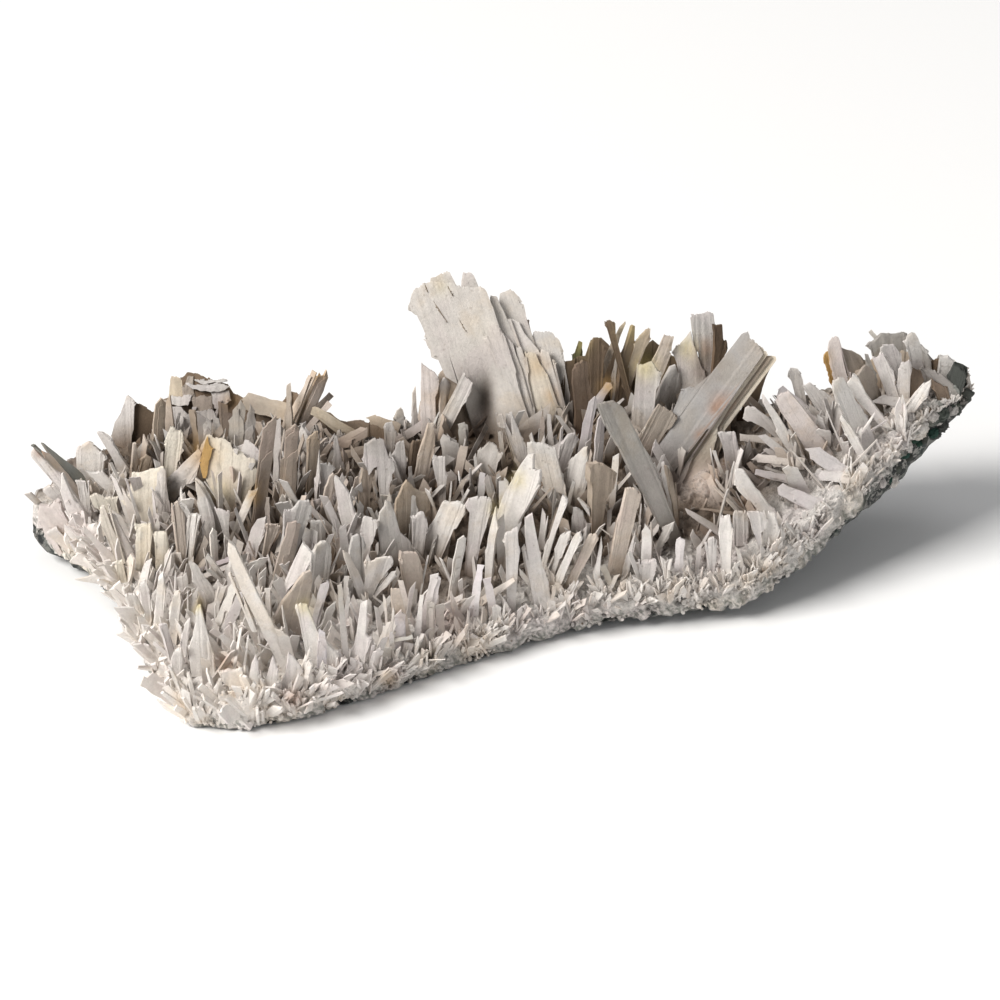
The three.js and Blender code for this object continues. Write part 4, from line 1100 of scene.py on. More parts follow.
BESIDE_FAN_PLATES = [
    ([(16, 81), (17, 79), (27, 86), (30, 92), (26, 124), (24, 128), (16, 126)], (21, 130), (18, 79), 0, 2.2,
     "blush"),
    ([(9, 118), (10, 96), (12, 97), (13, 101), (14, 127), (10, 127)], (12, 129), (11, 97), 20, 1.6, "ash"),
    ([(14, 104), (18, 112), (22, 126), (20, 129), (15, 128)], (18, 130), (15, 104), -20, 1.6, "putty"),
    ([(49, 85), (58, 96), (54, 105), (38, 135), (26, 134), (27, 129), (33, 120), (47, 92)], (32, 134),
     (53, 90), 0, 2.6, "chalk"),
    ([(76, 119), (88, 118), (98, 143), (96, 157), (87, 157), (85, 140), (83, 130), (78, 131), (79, 125)],
     (93, 157), (82, 118), 8, 2.2, "ash"),
    ([(76, 131), (80, 132), (83, 157), (80, 157)], (82, 157), (78, 132), 0, 1.6, "chalk"),
]
FRONT_LEFT_PLATES = [
    ([(51, 107), (56, 110), (69, 128), (86, 170), (111, 215), (120, 236), (104, 230), (86, 200), (76, 197),
     (69, 180), (66, 160), (60, 146), (53, 140), (50, 120)], (100, 226), (55, 109), -12, 3, "chalk"),
    ([(129, 106), (138, 118), (138, 128), (132, 136), (104, 166), (96, 180), (120, 124)], (102, 180),
     (129, 107), -15, 2.4, "chalk"),
    ([(134, 136), (138, 138), (136, 164), (128, 192), (114, 210), (104, 198), (98, 186), (106, 170),
     (120, 150)], (112, 212), (134, 136), 35, 2.2, "putty"),
    ([(122, 174), (128, 173), (138, 174), (139, 186), (144, 200), (152, 212), (164, 221), (159, 228),
     (150, 224), (140, 238), (136, 232), (130, 216), (125, 184)], (140, 238), (130, 173), 0, 2.6, "chalk"),
    ([(187, 171), (197, 169), (201, 174), (197, 184), (195, 202), (200, 208), (192, 236), (183, 248),
     (180, 236), (181, 216), (186, 192)], (184, 248), (192, 170), -8, 2.4, "chalk"),
    ([(170, 116), (178, 120), (198, 166), (189, 167), (172, 124)], (193, 168), (173, 117), 20, 1.6, "ash"),
    ([(226, 134), (228, 140), (204, 167), (197, 166), (218, 138)], (201, 168), (226, 134), 10, 1.5, "ash"),
    ([(193, 125), (197, 128), (202, 125), (222, 120), (222, 130), (204, 152), (198, 167), (194, 158)],
     (197, 168), (211, 121), 15, 2, "ash"),
    ([(79, 84), (91, 80), (88, 100), (80, 124), (76, 125), (67, 117)], (77, 126), (85, 81), -25, 2, "ash"),
    ([(91, 87), (104, 90), (94, 112), (86, 126), (84, 122), (88, 112)], (86, 127), (98, 89), 25, 1.8,
     "putty"),
    ([(109, 74), (118, 72), (124, 64), (134, 62), (138, 70), (131, 86), (129, 100), (112, 132), (106, 140),
     (103, 128), (108, 108)], (109, 140), (130, 62), 25, 2.4, "dust"),
    ([(221, 155), (232, 156), (234, 172), (240, 200), (228, 204), (220, 174)], (234, 204), (226, 155), 12,
     1.8, "putty"),
    ([(17, 174), (22, 172), (26, 192), (37, 226), (34, 236), (24, 233), (12, 232), (10, 216), (16, 190)],
     (22, 236), (19, 173), 0, 2.4, "chalk"),
    ([(25, 198), (30, 201), (46, 224), (40, 226), (30, 212)], (43, 227), (26, 198), 0, 1.6, "chalk"),
    ([(41, 242), (66, 238), (64, 268), (43, 250)], (54, 264), (53, 240), 0, 2.4, "chalk"),
    ([(8, 126), (16, 128), (35, 154), (37, 166), (24, 170), (12, 144)], (30, 170), (12, 127), 8, 2, "chalk"),
    ([(15, 38), (22, 43), (33, 60), (38, 74), (36, 94), (26, 88), (20, 66)], (32, 96), (16, 39), -5, 2,
     "chalk"),
    ([(36, 70), (51, 75), (52, 108), (47, 106), (41, 84)], (49, 110), (43, 72), 5, 1.8, "chalk"),
    ([(77, 226), (82, 225), (83, 240), (80, 264), (69, 266), (72, 246)], (76, 266), (80, 226), 0, 2.4,
     "chalk"),
    ([(93, 225), (98, 226), (103, 242), (100, 258), (92, 270), (84, 274), (90, 246)], (92, 272), (96, 226),
     0, 2.4, "chalk"),
    ([(108, 219), (118, 224), (128, 240), (108, 268), (104, 260), (112, 240)], (112, 266), (114, 221), 10,
     2.4, "ash"),
]
FRONT_MIDDLE_PLATES = [
    ([(95, 107), (97, 109), (93, 147), (88, 148), (90, 130)], (90, 149), (96, 108), 0, 1.8, "chalk"),
    ([(115, 93), (118, 93), (127, 122), (124, 124), (120, 108)], (126, 124), (116, 93), 0, 1.6, "ash"),
    ([(36, 34), (42, 32), (44, 34), (51, 34), (59, 39), (66, 65), (66, 72), (64, 77), (59, 79), (55, 77),
     (52, 72), (49, 60), (47, 56), (42, 60), (36, 60), (38, 48)], (58, 80), (47, 33), -10, 2.6, "chalk"),
    ([(40, 41), (44, 44), (42, 54), (48, 56), (48, 61), (45, 70), (39, 83), (30, 96), (22, 111), (18, 113),
     (15, 94), (19, 74), (34, 48)], (20, 114), (42, 42), -20, 3, "chalk"),
    ([(82, 36), (84, 38), (86, 47), (83, 56), (85, 60), (79, 77), (72, 75), (68, 70), (70, 52), (72, 46)],
     (74, 78), (83, 36), -12, 2.4, "chalk"),
    ([(62, 34), (70, 27), (75, 26), (76, 30), (69, 50), (64, 56), (61, 48)], (64, 57), (74, 26), 22, 2.2,
     "dust"),
    ([(85, 50), (92, 48), (106, 56), (105, 64), (97, 76), (95, 96), (90, 100), (86, 90)], (90, 101),
     (95, 50), 32, 4, "tan"),
    ([(93, 4), (106, 2), (113, 7), (137, 56), (144, 74), (144, 96), (148, 105), (140, 103), (138, 95),
     (129, 75), (118, 56), (98, 18)], (143, 106), (100, 3), 16, 3, "flint"),
    ([(14, 11), (26, 10), (29, 20), (35, 34), (35, 48), (30, 52), (25, 45), (24, 22), (15, 21)], (30, 52),
     (20, 10), 0, 2.4, "ash"),
    ([(60, 75), (64, 73), (69, 78), (66, 88), (59, 106), (54, 126), (51, 133), (50, 118), (60, 90)],
     (52, 133), (64, 74), -10, 2.4, "chalk"),
    ([(64, 105), (71, 103), (70, 109), (62, 128), (58, 145), (56, 142), (58, 124), (61, 111)], (57, 144),
     (68, 104), -8, 2.2, "chalk"),
    ([(74, 105), (79, 104), (80, 109), (72, 124), (69, 133), (64, 142), (60, 153), (57, 151), (62, 133),
     (69, 114)], (60, 153), (77, 105), -5, 2.2, "chalk"),
    ([(74, 83), (79, 85), (87, 101), (79, 105), (70, 104)], (78, 106), (76, 84), 5, 2, "ash"),
    ([(77, 77), (80, 78), (86, 85), (88, 96), (92, 105), (87, 100), (84, 88)], (90, 105), (78, 77), -20, 1.6,
     "chalk"),
    ([(95, 107), (97, 108), (94, 140), (90, 148), (88, 145), (93, 122)], (90, 148), (96, 107), 0, 1.6,
     "chalk"),
    ([(114, 69), (127, 72), (124, 80), (112, 124), (106, 130), (104, 116), (111, 80)], (108, 131), (120, 70),
     28, 2.6, "putty"),
    ([(85, 106), (92, 104), (92, 109), (85, 124), (76, 140), (72, 150), (66, 153), (69, 140), (79, 120)],
     (70, 154), (89, 104), 10, 2.2, "putty"),
    ([(19, 106), (30, 100), (30, 130), (29, 157), (20, 157)], (24, 157), (25, 103), 5, 2.4, "ash"),
    ([(35, 93), (42, 88), (48, 125), (54, 145), (55, 157), (43, 157), (38, 135), (35, 115)], (48, 157),
     (38, 90), 8, 2.4, "ash"),
    ([(10, 85), (13, 84), (14, 100), (11, 120), (10, 140), (4, 142), (6, 115)], (8, 143), (12, 84), -15, 2,
     "chalk"),
]
MIDDLE_LEFT_PLATES = [
    ([(50, 50), (58, 46), (67, 48), (67, 58), (72, 62), (75, 69), (70, 80), (65, 95), (60, 100), (59, 94),
     (60, 76), (62, 68), (56, 69), (54, 74), (49, 62)], (61, 101), (59, 46), 8, 2.6, "ash"),
    ([(49, 68), (56, 74), (56, 80), (54, 90), (56, 100), (47, 101), (46, 85)], (52, 102), (51, 69), 30, 2,
     "tan"),
    ([(27, 75), (32, 78), (38, 87), (41, 90), (42, 100), (44, 105), (47, 108), (46, 121), (40, 123),
     (38, 129), (30, 100), (28, 88)], (40, 128), (28, 76), -20, 2.4, "chalk"),
    ([(16, 66), (23, 65), (27, 69), (22, 76), (18, 86), (16, 94)], (17, 96), (22, 66), 20, 2, "dust"),
    ([(25, 72), (27, 74), (27, 86), (20, 106), (16, 104), (20, 82)], (19, 106), (25, 72), 25, 2, "putty"),
    ([(14, 54), (16, 56), (15, 90), (13, 100), (12, 80)], (14, 100), (15, 55), -20, 1.4, "chalk"),
    ([(6, 45), (12, 42), (15, 42), (11, 80), (5, 84)], (8, 85), (11, 42), 25, 2, "tan"),
    ([(26, 42), (31, 46), (32, 62), (35, 64), (35, 70), (29, 70), (26, 64)], (30, 72), (29, 44), 0, 1.8,
     "ash"),
    ([(66, 34), (72, 32), (76, 43), (70, 54), (66, 52)], (69, 56), (70, 33), 10, 1.8, "ash"),
    ([(98, 34), (105, 34), (105, 56), (96, 82), (90, 77), (94, 56), (98, 44)], (93, 82), (102, 34), 22, 2.4,
     "putty"),
    ([(88, 48), (95, 47), (94, 56), (91, 70), (88, 76), (84, 70)], (88, 76), (92, 48), 35, 2, "umber"),
    ([(72, 60), (76, 50), (82, 47), (83, 62), (82, 78), (76, 78), (74, 66)], (79, 80), (79, 48), 5, 2,
     "ash"),
    ([(104, 59), (114, 60), (115, 74), (113, 92), (109, 90), (105, 70)], (110, 93), (110, 59), 0, 2, "ash"),
    ([(140, 72), (138, 64), (140, 56), (148, 49), (153, 50), (159, 57), (157, 62), (150, 74)], (145, 74),
     (149, 50), 0, 2.4, "chalk"),
    ([(111, 96), (115, 94), (120, 96), (126, 95), (130, 98), (129, 105), (112, 132), (106, 130), (102, 123),
     (103, 115)], (108, 132), (122, 96), 0, 2.6, "chalk"),
    ([(130, 94), (140, 92), (150, 93), (150, 101), (146, 115), (140, 130), (136, 146), (129, 138),
     (130, 120), (134, 105), (130, 100)], (134, 146), (143, 93), 5, 2.6, "ash"),
    ([(88, 108), (96, 102), (100, 108), (100, 115), (95, 134), (88, 125)], (93, 134), (96, 103), 12, 3,
     "ash"),
    ([(64, 94), (70, 96), (75, 103), (76, 115), (80, 122), (86, 125), (92, 134), (78, 136), (65, 134),
     (60, 114), (62, 105), (65, 100)], (73, 137), (68, 95), 10, 2.6, "dust"),
    ([(50, 105), (61, 111), (60, 118), (53, 139), (50, 133), (48, 120)], (53, 140), (52, 106), -10, 2.2,
     "ash"),
    ([(78, 135), (92, 135), (95, 150), (94, 164), (82, 164)], (88, 165), (85, 135), 22, 3.4, "putty"),
    ([(8, 140), (13, 129), (19, 126), (24, 130), (24, 140), (20, 160), (8, 160)], (15, 162), (19, 126), 28,
     2.8, "dust"),
    ([(38, 129), (43, 120), (49, 123), (51, 129), (48, 138), (50, 145), (49, 160), (43, 160), (39, 145)],
     (46, 162), (44, 120), 24, 2.4, "dust"),
    ([(80, 89), (90, 90), (93, 104), (90, 114), (86, 120), (77, 118)], (84, 120), (85, 89), 15, 2.6, "dust"),
    ([(75, 118), (75, 95), (79, 85), (84, 78), (90, 86), (102, 89), (102, 100), (88, 110), (82, 119)],
     (85, 121), (86, 80), 30, 2, "tan"),
    ([(8, 111), (20, 110), (20, 123), (13, 129), (9, 125)], (14, 129), (14, 111), 15, 2, "dust"),
    ([(74, 29), (78, 19), (81, 25), (82, 30), (79, 38), (74, 35)], (78, 40), (78, 20), 15, 2, "dust"),
]
RIGHT_OF_FAN_PLATES = [
    ([(20, 32), (26, 25), (28, 29), (32, 33), (29, 52), (22, 58), (20, 45)], (25, 59), (26, 26), 20, 2,
     "cocoa"),
    ([(32, 16), (36, 14), (38, 16), (40, 22), (38, 30), (34, 24)], (38, 30), (34, 15), 10, 1.6, "cocoa"),
    ([(46, 15), (47, 17), (40, 34), (36, 33), (40, 23), (44, 16)], (38, 34), (46, 16), 0, 1.4, "tan"),
    ([(49, 20), (52, 17), (54, 18), (50, 57), (45, 56), (42, 47), (43, 40), (46, 33)], (47, 60), (52, 17),
     30, 3, "umber"),
    ([(62, 20), (65, 21), (64, 26), (56, 44), (52, 49), (50, 47), (51, 40), (54, 29)], (52, 52), (63, 21),
     15, 2, "tan"),
    ([(74, 25), (81, 26), (80, 33), (77, 42), (72, 47), (69, 48), (66, 42), (70, 35)], (70, 49), (78, 26),
     12, 2, "putty"),
    ([(54, 47), (58, 45), (59, 46), (62, 44), (66, 43), (68, 48), (72, 52), (69, 65), (68, 76), (65, 83),
     (64, 92), (56, 94), (52, 88), (52, 76), (54, 64)], (60, 94), (62, 44), -6, 2.4, "ash"),
    ([(80, 43), (83, 48), (86, 56), (83, 74), (79, 78), (74, 77), (70, 74), (66, 78), (68, 69), (72, 59)],
     (72, 80), (80, 44), 28, 2.4, "dust"),
    ([(80, 37), (83, 32), (85, 32), (90, 26), (93, 21), (96, 33), (98, 37), (100, 45), (104, 55), (103, 59),
     (96, 62), (86, 65), (86, 56)], (92, 67), (92, 22), 0, 2.4, "ash"),
    ([(94, 10), (102, 10), (104, 8), (110, 10), (110, 34), (108, 46), (104, 54), (100, 46), (95, 25)],
     (104, 56), (102, 9), 8, 2.4, "dust"),
    ([(110, 18), (116, 17), (116, 29), (119, 29), (119, 35), (111, 48), (107, 49), (110, 35)], (109, 50),
     (114, 17), 25, 2, "bark"),
    ([(70, 74), (84, 83), (72, 98), (62, 108), (59, 105), (56, 99)], (60, 109), (76, 78), 18, 2.2, "taupe"),
    ([(113, 94), (125, 93), (128, 108), (125, 117), (120, 119)], (122, 120), (119, 94), 8, 2, "ash"),
    ([(124, 121), (130, 120), (134, 124), (140, 135), (153, 150), (144, 152), (138, 144), (131, 140),
     (125, 132)], (147, 153), (128, 121), -12, 2.2, "chalk"),
    ([(72, 116), (76, 114), (76, 125), (83, 157), (80, 156), (72, 125)], (81, 157), (74, 115), -10, 1.8,
     "chalk"),
    ([(76, 119), (79, 120), (81, 130), (84, 157), (80, 157)], (82, 157), (78, 120), 35, 2, "tan"),
    ([(37, 56), (40, 40), (42, 37), (43, 45), (41, 56), (41, 70), (38, 74)], (39, 74), (42, 38), 20, 1.6,
     "dust"),
    ([(40, 138), (40, 133), (59, 111), (61, 110), (60, 114), (42, 134)], (40, 140), (60, 110), 0, 1.6,
     "chalk"),
    ([(54, 124), (58, 124), (70, 157), (64, 157)], (66, 157), (56, 124), 8, 1.8, "chalk"),
]
SLOPE_PLATES = [
    ([(100, 56), (114, 57), (115, 64), (111, 72), (113, 84), (108, 78), (104, 70)], (110, 84), (107, 57), 10,
     2, "ash"),
    ([(114, 56), (120, 56), (125, 69), (121, 80), (115, 84), (112, 74), (115, 64)], (116, 84), (118, 56), -5,
     2, "chalk"),
    ([(78, 59), (87, 60), (88, 70), (87, 90), (87, 117), (80, 118), (78, 80)], (83, 118), (83, 60), -6, 3,
     "chalk"),
    ([(90, 55), (99, 56), (101, 70), (96, 74), (89, 69)], (94, 75), (94, 55), 8, 2, "ash"),
    ([(33, 69), (43, 64), (42, 70), (36, 79)], (34, 80), (42, 64), -10, 2, "chalk"),
    ([(15, 95), (28, 93), (29, 100), (25, 108), (17, 112), (15, 104)], (20, 113), (22, 93), 0, 2.4, "ash"),
    ([(68, 78), (75, 77), (74, 105), (69, 110), (68, 95)], (71, 111), (72, 78), 12, 2.4, "ash"),
    ([(6, 62), (8, 62), (19, 90), (15, 93)], (16, 93), (7, 62), -8, 1.6, "chalk"),
    ([(12, 70), (15, 48), (16, 48), (12, 80), (8, 96), (3, 100), (6, 85)], (6, 100), (16, 48), 0, 1.8,
     "ash"),
]
RIGHT_WING_PLATES = [
    ([(52, 34), (55, 32), (57, 35), (56, 40), (54, 42), (52, 40)], (60, 50), (54, 33), 10, 1.4, "ochre"),
    ([(56, 24), (61, 22), (65, 38), (68, 44), (67, 48), (62, 49), (58, 46), (56, 40), (55, 30)], (66, 52),
     (58, 23), 0, 2.2, "blush"),
    ([(62, 29), (70, 32), (79, 38), (79, 40), (70, 48), (66, 44)], (73, 48), (64, 30), 30, 2, "taupe"),
    ([(30, 46), (32, 43), (36, 43), (38, 46), (39, 54), (38, 56), (34, 56)], (38, 61), (34, 43), 0, 2.4,
     "chalk"),
    ([(12, 60), (16, 59), (23, 72), (34, 88), (37, 96), (33, 96), (24, 84)], (36, 97), (14, 60), 5, 2,
     "chalk"),
    ([(22, 64), (25, 59), (30, 57), (37, 64), (48, 79), (52, 87), (50, 92), (44, 94), (35, 84)], (50, 94),
     (28, 58), -8, 2.4, "blush"),
    ([(39, 54), (44, 52), (56, 60), (60, 68), (56, 74), (52, 72), (47, 66)], (57, 76), (41, 53), 8, 2.2,
     "ash"),
    ([(58, 56), (60, 49), (64, 48), (68, 54), (76, 69), (80, 74), (80, 80), (78, 86), (74, 88), (64, 71)],
     (78, 90), (62, 48), 14, 2.4, "dust"),
    ([(60, 68), (64, 72), (70, 80), (75, 89), (77, 96), (76, 98), (70, 90), (64, 80)], (77, 100), (60, 69),
     -20, 1.8, "chalk"),
    ([(67, 53), (71, 46), (74, 49), (80, 60), (92, 75), (90, 78), (82, 72), (69, 57)], (93, 78), (70, 49),
     -18, 2, "chalk"),
    ([(72, 47), (79, 41), (83, 44), (88, 60), (85, 64), (82, 66), (79, 62), (74, 53)], (85, 68), (80, 41),
     34, 2, "taupe"),
    ([(78, 33), (80, 33), (85, 46), (88, 61), (86, 60), (83, 48), (78, 37)], (88, 62), (79, 33), 0, 1.4,
     "flint"),
    ([(80, 29), (83, 25), (88, 21), (96, 21), (104, 20), (105, 23), (103, 30), (100, 33), (96, 29), (90, 30),
     (85, 34), (83, 33)], (97, 42), (94, 21), 5, 3, "flint"),
    ([(88, 29), (96, 27), (100, 33), (101, 42), (99, 49), (92, 36), (88, 34)], (100, 56), (92, 28), 12, 2,
     "dust"),
    ([(84, 36), (90, 33), (95, 42), (98, 56), (98, 64), (95, 62), (90, 52)], (98, 66), (87, 35), -10, 2.2,
     "ash"),
    ([(103, 26), (106, 20), (111, 21), (113, 27), (117, 32), (114, 36), (112, 42), (107, 38)], (112, 49),
     (108, 21), 8, 2.6, "dust"),
    ([(98, 56), (99, 45), (101, 40), (106, 38), (107, 40), (107, 60), (100, 61)], (103, 64), (103, 38), -4,
     2.4, "ash"),
    ([(107, 42), (113, 44), (115, 50), (107, 60)], (109, 62), (111, 43), 30, 1.6, "umber"),
    ([(110, 58), (118, 49), (120, 50), (118, 59), (112, 66), (106, 70), (105, 66)], (106, 70), (119, 49), 0,
     2.4, "chalk"),
    ([(114, 32), (117, 33), (120, 37), (119, 44), (115, 41)], (118, 47), (116, 33), 0, 2.2, "flint"),
    ([(120, 38), (126, 37), (125, 44), (120, 43)], (122, 47), (123, 37), 0, 2.4, "cocoa"),
    ([(125, 35), (130, 35), (134, 39), (130, 47), (125, 44)], (127, 50), (128, 35), 0, 2.6, "dust"),
    ([(134, 40), (141, 44), (142, 48), (139, 56), (134, 54), (130, 48)], (133, 59), (138, 42), 0, 3, "soot"),
    ([(139, 56), (144, 56), (146, 59), (144, 62), (140, 64), (138, 60)], (138, 65), (142, 56), 0, 3, "soot"),
    ([(112, 42), (118, 43), (126, 47), (133, 52), (130, 55), (124, 52), (118, 48)], (129, 60), (115, 42),
     -14, 2.4, "flint"),
    ([(120, 49), (124, 52), (129, 54), (128, 60), (125, 61), (120, 55)], (126, 65), (121, 49), 8, 3,
     "umber"),
    ([(129, 55), (133, 52), (138, 56), (138, 60), (133, 64), (128, 62)], (131, 66), (134, 53), 0, 3,
     "slate green"),
    ([(134, 47), (137, 45), (139, 50), (138, 54), (134, 53)], (137, 56), (136, 46), -8, 2.6, "slate"),
    ([(2, 74), (4, 66), (10, 67), (20, 76), (22, 84), (13, 79)], (20, 83), (6, 67), 0, 2.4, "ash"),
]
LEFT_FRONT_PLATES = [
    ([(52, 26), (56, 25), (61, 26), (62, 42), (60, 46), (52, 45)], (57, 47), (56, 26), 0, 2.6, "warm"),
    ([(36, 21), (48, 19), (49, 33), (47, 46), (38, 47), (36, 33)], (42, 48), (42, 20), -4, 2.4, "warm"),
    ([(14, 13), (20, 11), (32, 37), (28, 40), (18, 23)], (30, 40), (17, 12), -10, 2.4, "chalk"),
    ([(79, 12), (83, 10), (86, 13), (80, 46), (76, 48), (75, 40), (79, 28)], (78, 48), (83, 11), -10, 2.6,
     "chalk"),
    ([(63, 3), (69, 1), (74, 13), (74, 48), (70, 48), (68, 30)], (72, 49), (67, 2), 20, 2.2, "putty"),
    ([(27, 75), (35, 73), (44, 90), (44, 96), (38, 94), (30, 83)], (40, 98), (31, 74), 0, 3, "chalk"),
    ([(38, 66), (45, 64), (48, 80), (49, 94), (44, 91), (40, 80)], (46, 96), (42, 65), 0, 3, "chalk"),
    ([(53, 60), (58, 56), (60, 72), (56, 90), (51, 96), (51, 80)], (54, 98), (56, 57), 0, 3, "chalk"),
    ([(63, 83), (66, 72), (72, 70), (72, 80), (70, 90), (69, 108), (64, 106), (62, 93)], (66, 110), (70, 70),
     0, 3, "chalk"),
    ([(54, 98), (61, 96), (65, 115), (66, 124), (60, 116)], (64, 124), (58, 96), 25, 2.4, "ash"),
    ([(66, 118), (72, 116), (74, 130), (72, 142), (66, 140), (64, 128)], (69, 143), (69, 117), 0, 3,
     "chalk"),
    ([(74, 94), (79, 93), (78, 105), (75, 118), (70, 120)], (73, 121), (76, 94), 0, 2.4, "chalk"),
    ([(20, 48), (27, 47), (32, 72), (27, 73), (22, 60)], (29, 74), (24, 48), 0, 3, "warm"),
    ([(6, 6), (16, 4), (15, 14), (26, 40), (20, 40), (12, 28)], (23, 42), (11, 5), 0, 3, "warm"),
]
# Each region: its corner across and up, the size of its grid steps, and its plates.
DRAWN_PLATES = {
    "left_end": ((-216.2, 120.5), 0.5867, LEFT_END_PLATES),
    "beside_fan": ((-46, 165.6), 0.5867, BESIDE_FAN_PLATES),
    "front_left": ((-147.2, 83.7), 0.44, FRONT_LEFT_PLATES),
    "front_middle": ((-9.2, 102.1), 0.5867, FRONT_MIDDLE_PLATES),
    "middle_left": ((-92, 111.3), 0.5867, MIDDLE_LEFT_PLATES),
    "right_of_fan": ((27.6, 148.1), 0.6454, RIGHT_OF_FAN_PLATES),
    "slope": ((55.2, 83.7), 0.5867, SLOPE_PLATES),
    "right_wing": ((110.4, 148.1), 0.7334, RIGHT_WING_PLATES),
    "left_front": ((-188.6, 56.1), 0.5867, LEFT_FRONT_PLATES),
}


# Where the fan is pressed in: across, up, half width, half height and depth.
FAN_HOLLOW = (-8, 95, 6.5, 15, 9)


def press_fan(points):
    """Presses the soft hollow into the fan's front."""
    across, up = as_seen(points)
    a, b, wide, high, deep = FAN_HOLLOW
    near = np.exp(-(((across - a) / wide) ** 2) - ((up - b) / high) ** 2)
    return points - TOWARDS_EYE * (deep * near)[:, None]


def mound_at(across, up):
    """How much of the bare pink mound is seen at a place."""
    return np.exp(-(((across - 92) / 10) ** 2) - ((up - 62) / 10) ** 2)


def bare_at(across, up):
    """How bare the crust is where it is seen: a mound and a porous slope carry few blades."""
    slope = np.exp(-(((across - 142) / 16) ** 2) - ((up - 48) / 14) ** 2)
    return 1.4 * mound_at(across, up) + 0.8 * slope


# The room that the fan, the great blade, the tongue and the broad plate take, each as one row.
FAN_AS_ROW = (8, 82, -24, 152, 34, 0, 0)
GREAT_BLADE_AS_ROW = (84, 66, 114, 128, 18, 0, 0)
TONGUE_AS_ROW = (-122, 40, -127, 85, 22, 0, 0)
BROAD_PLATE_AS_ROW = (-160, 36, -163, 72, 20, 0, 0)
# The line that small blades stay under, across and up.
SKYLINE = np.array([
    (-222, 58), (-206, 64), (-190, 72), (-176, 78), (-166, 84), (-156, 92), (-146, 98), (-130, 98),
    (-112, 94), (-100, 98), (-84, 96), (-70, 88), (-52, 84), (-42, 94), (-30, 96), (10, 98), (36, 104),
    (60, 114), (80, 118), (100, 116), (118, 108), (135, 102), (150, 106), (168, 112), (184, 116), (198, 110),
    (210, 104), (220, 98),
], float)


HIDDEN_FOOT = 0.34  # small blades may cover this share of a blade, from its foot


def in_front(points, rows, feet):
    """Which points cover the upper part of a blade that has a place of its own, or pass the skyline."""
    across, up = as_seen(points)
    near = points @ TOWARDS_EYE
    covered = up > np.interp(across, SKYLINE[:, 0], SKYLINE[:, 1])
    for row, foot in zip(rows, feet):
        base, tip = np.array(row[:2], float), np.array(row[2:4], float)
        run = tip - base
        share = ((across - base[0]) * run[0] + (up - base[1]) * run[1]) / (run @ run)
        off = np.abs((across - base[0]) * run[1] - (up - base[1]) * run[0]) / np.linalg.norm(run)
        on_blade = (share > HIDDEN_FOOT) & (share < 1.05) & (off < row[4] / 2 + 0.5)
        covered |= on_blade & (near > foot @ TOWARDS_EYE - 5)
    return covered


def all_rows():
    """Every blade, plate and sheet that has a place of its own, as rows."""
    rows = [row for group in BLADES.values() for row in group]
    rows += [FAN_AS_ROW, GREAT_BLADE_AS_ROW, TONGUE_AS_ROW, BROAD_PLATE_AS_ROW]
    for corner, grid, drawn in DRAWN_PLATES.values():
        rows += [drawn_as_row(corner, grid, plate) for plate in drawn]
    return rows


def shortened(foot, axis, length):
    """Lengths of small blades, cut back until they hide nothing that has a place of its own."""
    rows = all_rows()
    feet = [placed(row)[0] for row in rows]
    for shorter in (0.6, 0.6, 0):
        covers = np.zeros(len(length), bool)
        for reach in (0.5, 0.75, 1.0):
            covers |= in_front(foot + axis * (length * reach)[:, None], rows, feet)
        length = np.where(covers, length * shorter, length)
    return length


LIP_ZONE, BACK_ZONE = 0.26, 0.93  # the first share of the small blades grows on the lip, the last on the back
SHORTEST = 2.5
SMALL_BLADE_COLOURS = ["ash", "chalk", "dust", "putty"]
THIRDS = {
    "small_blades_left": (-999, -60),
    "small_blades_middle": (-60, 60),
    "small_blades_right": (60, 999),
}


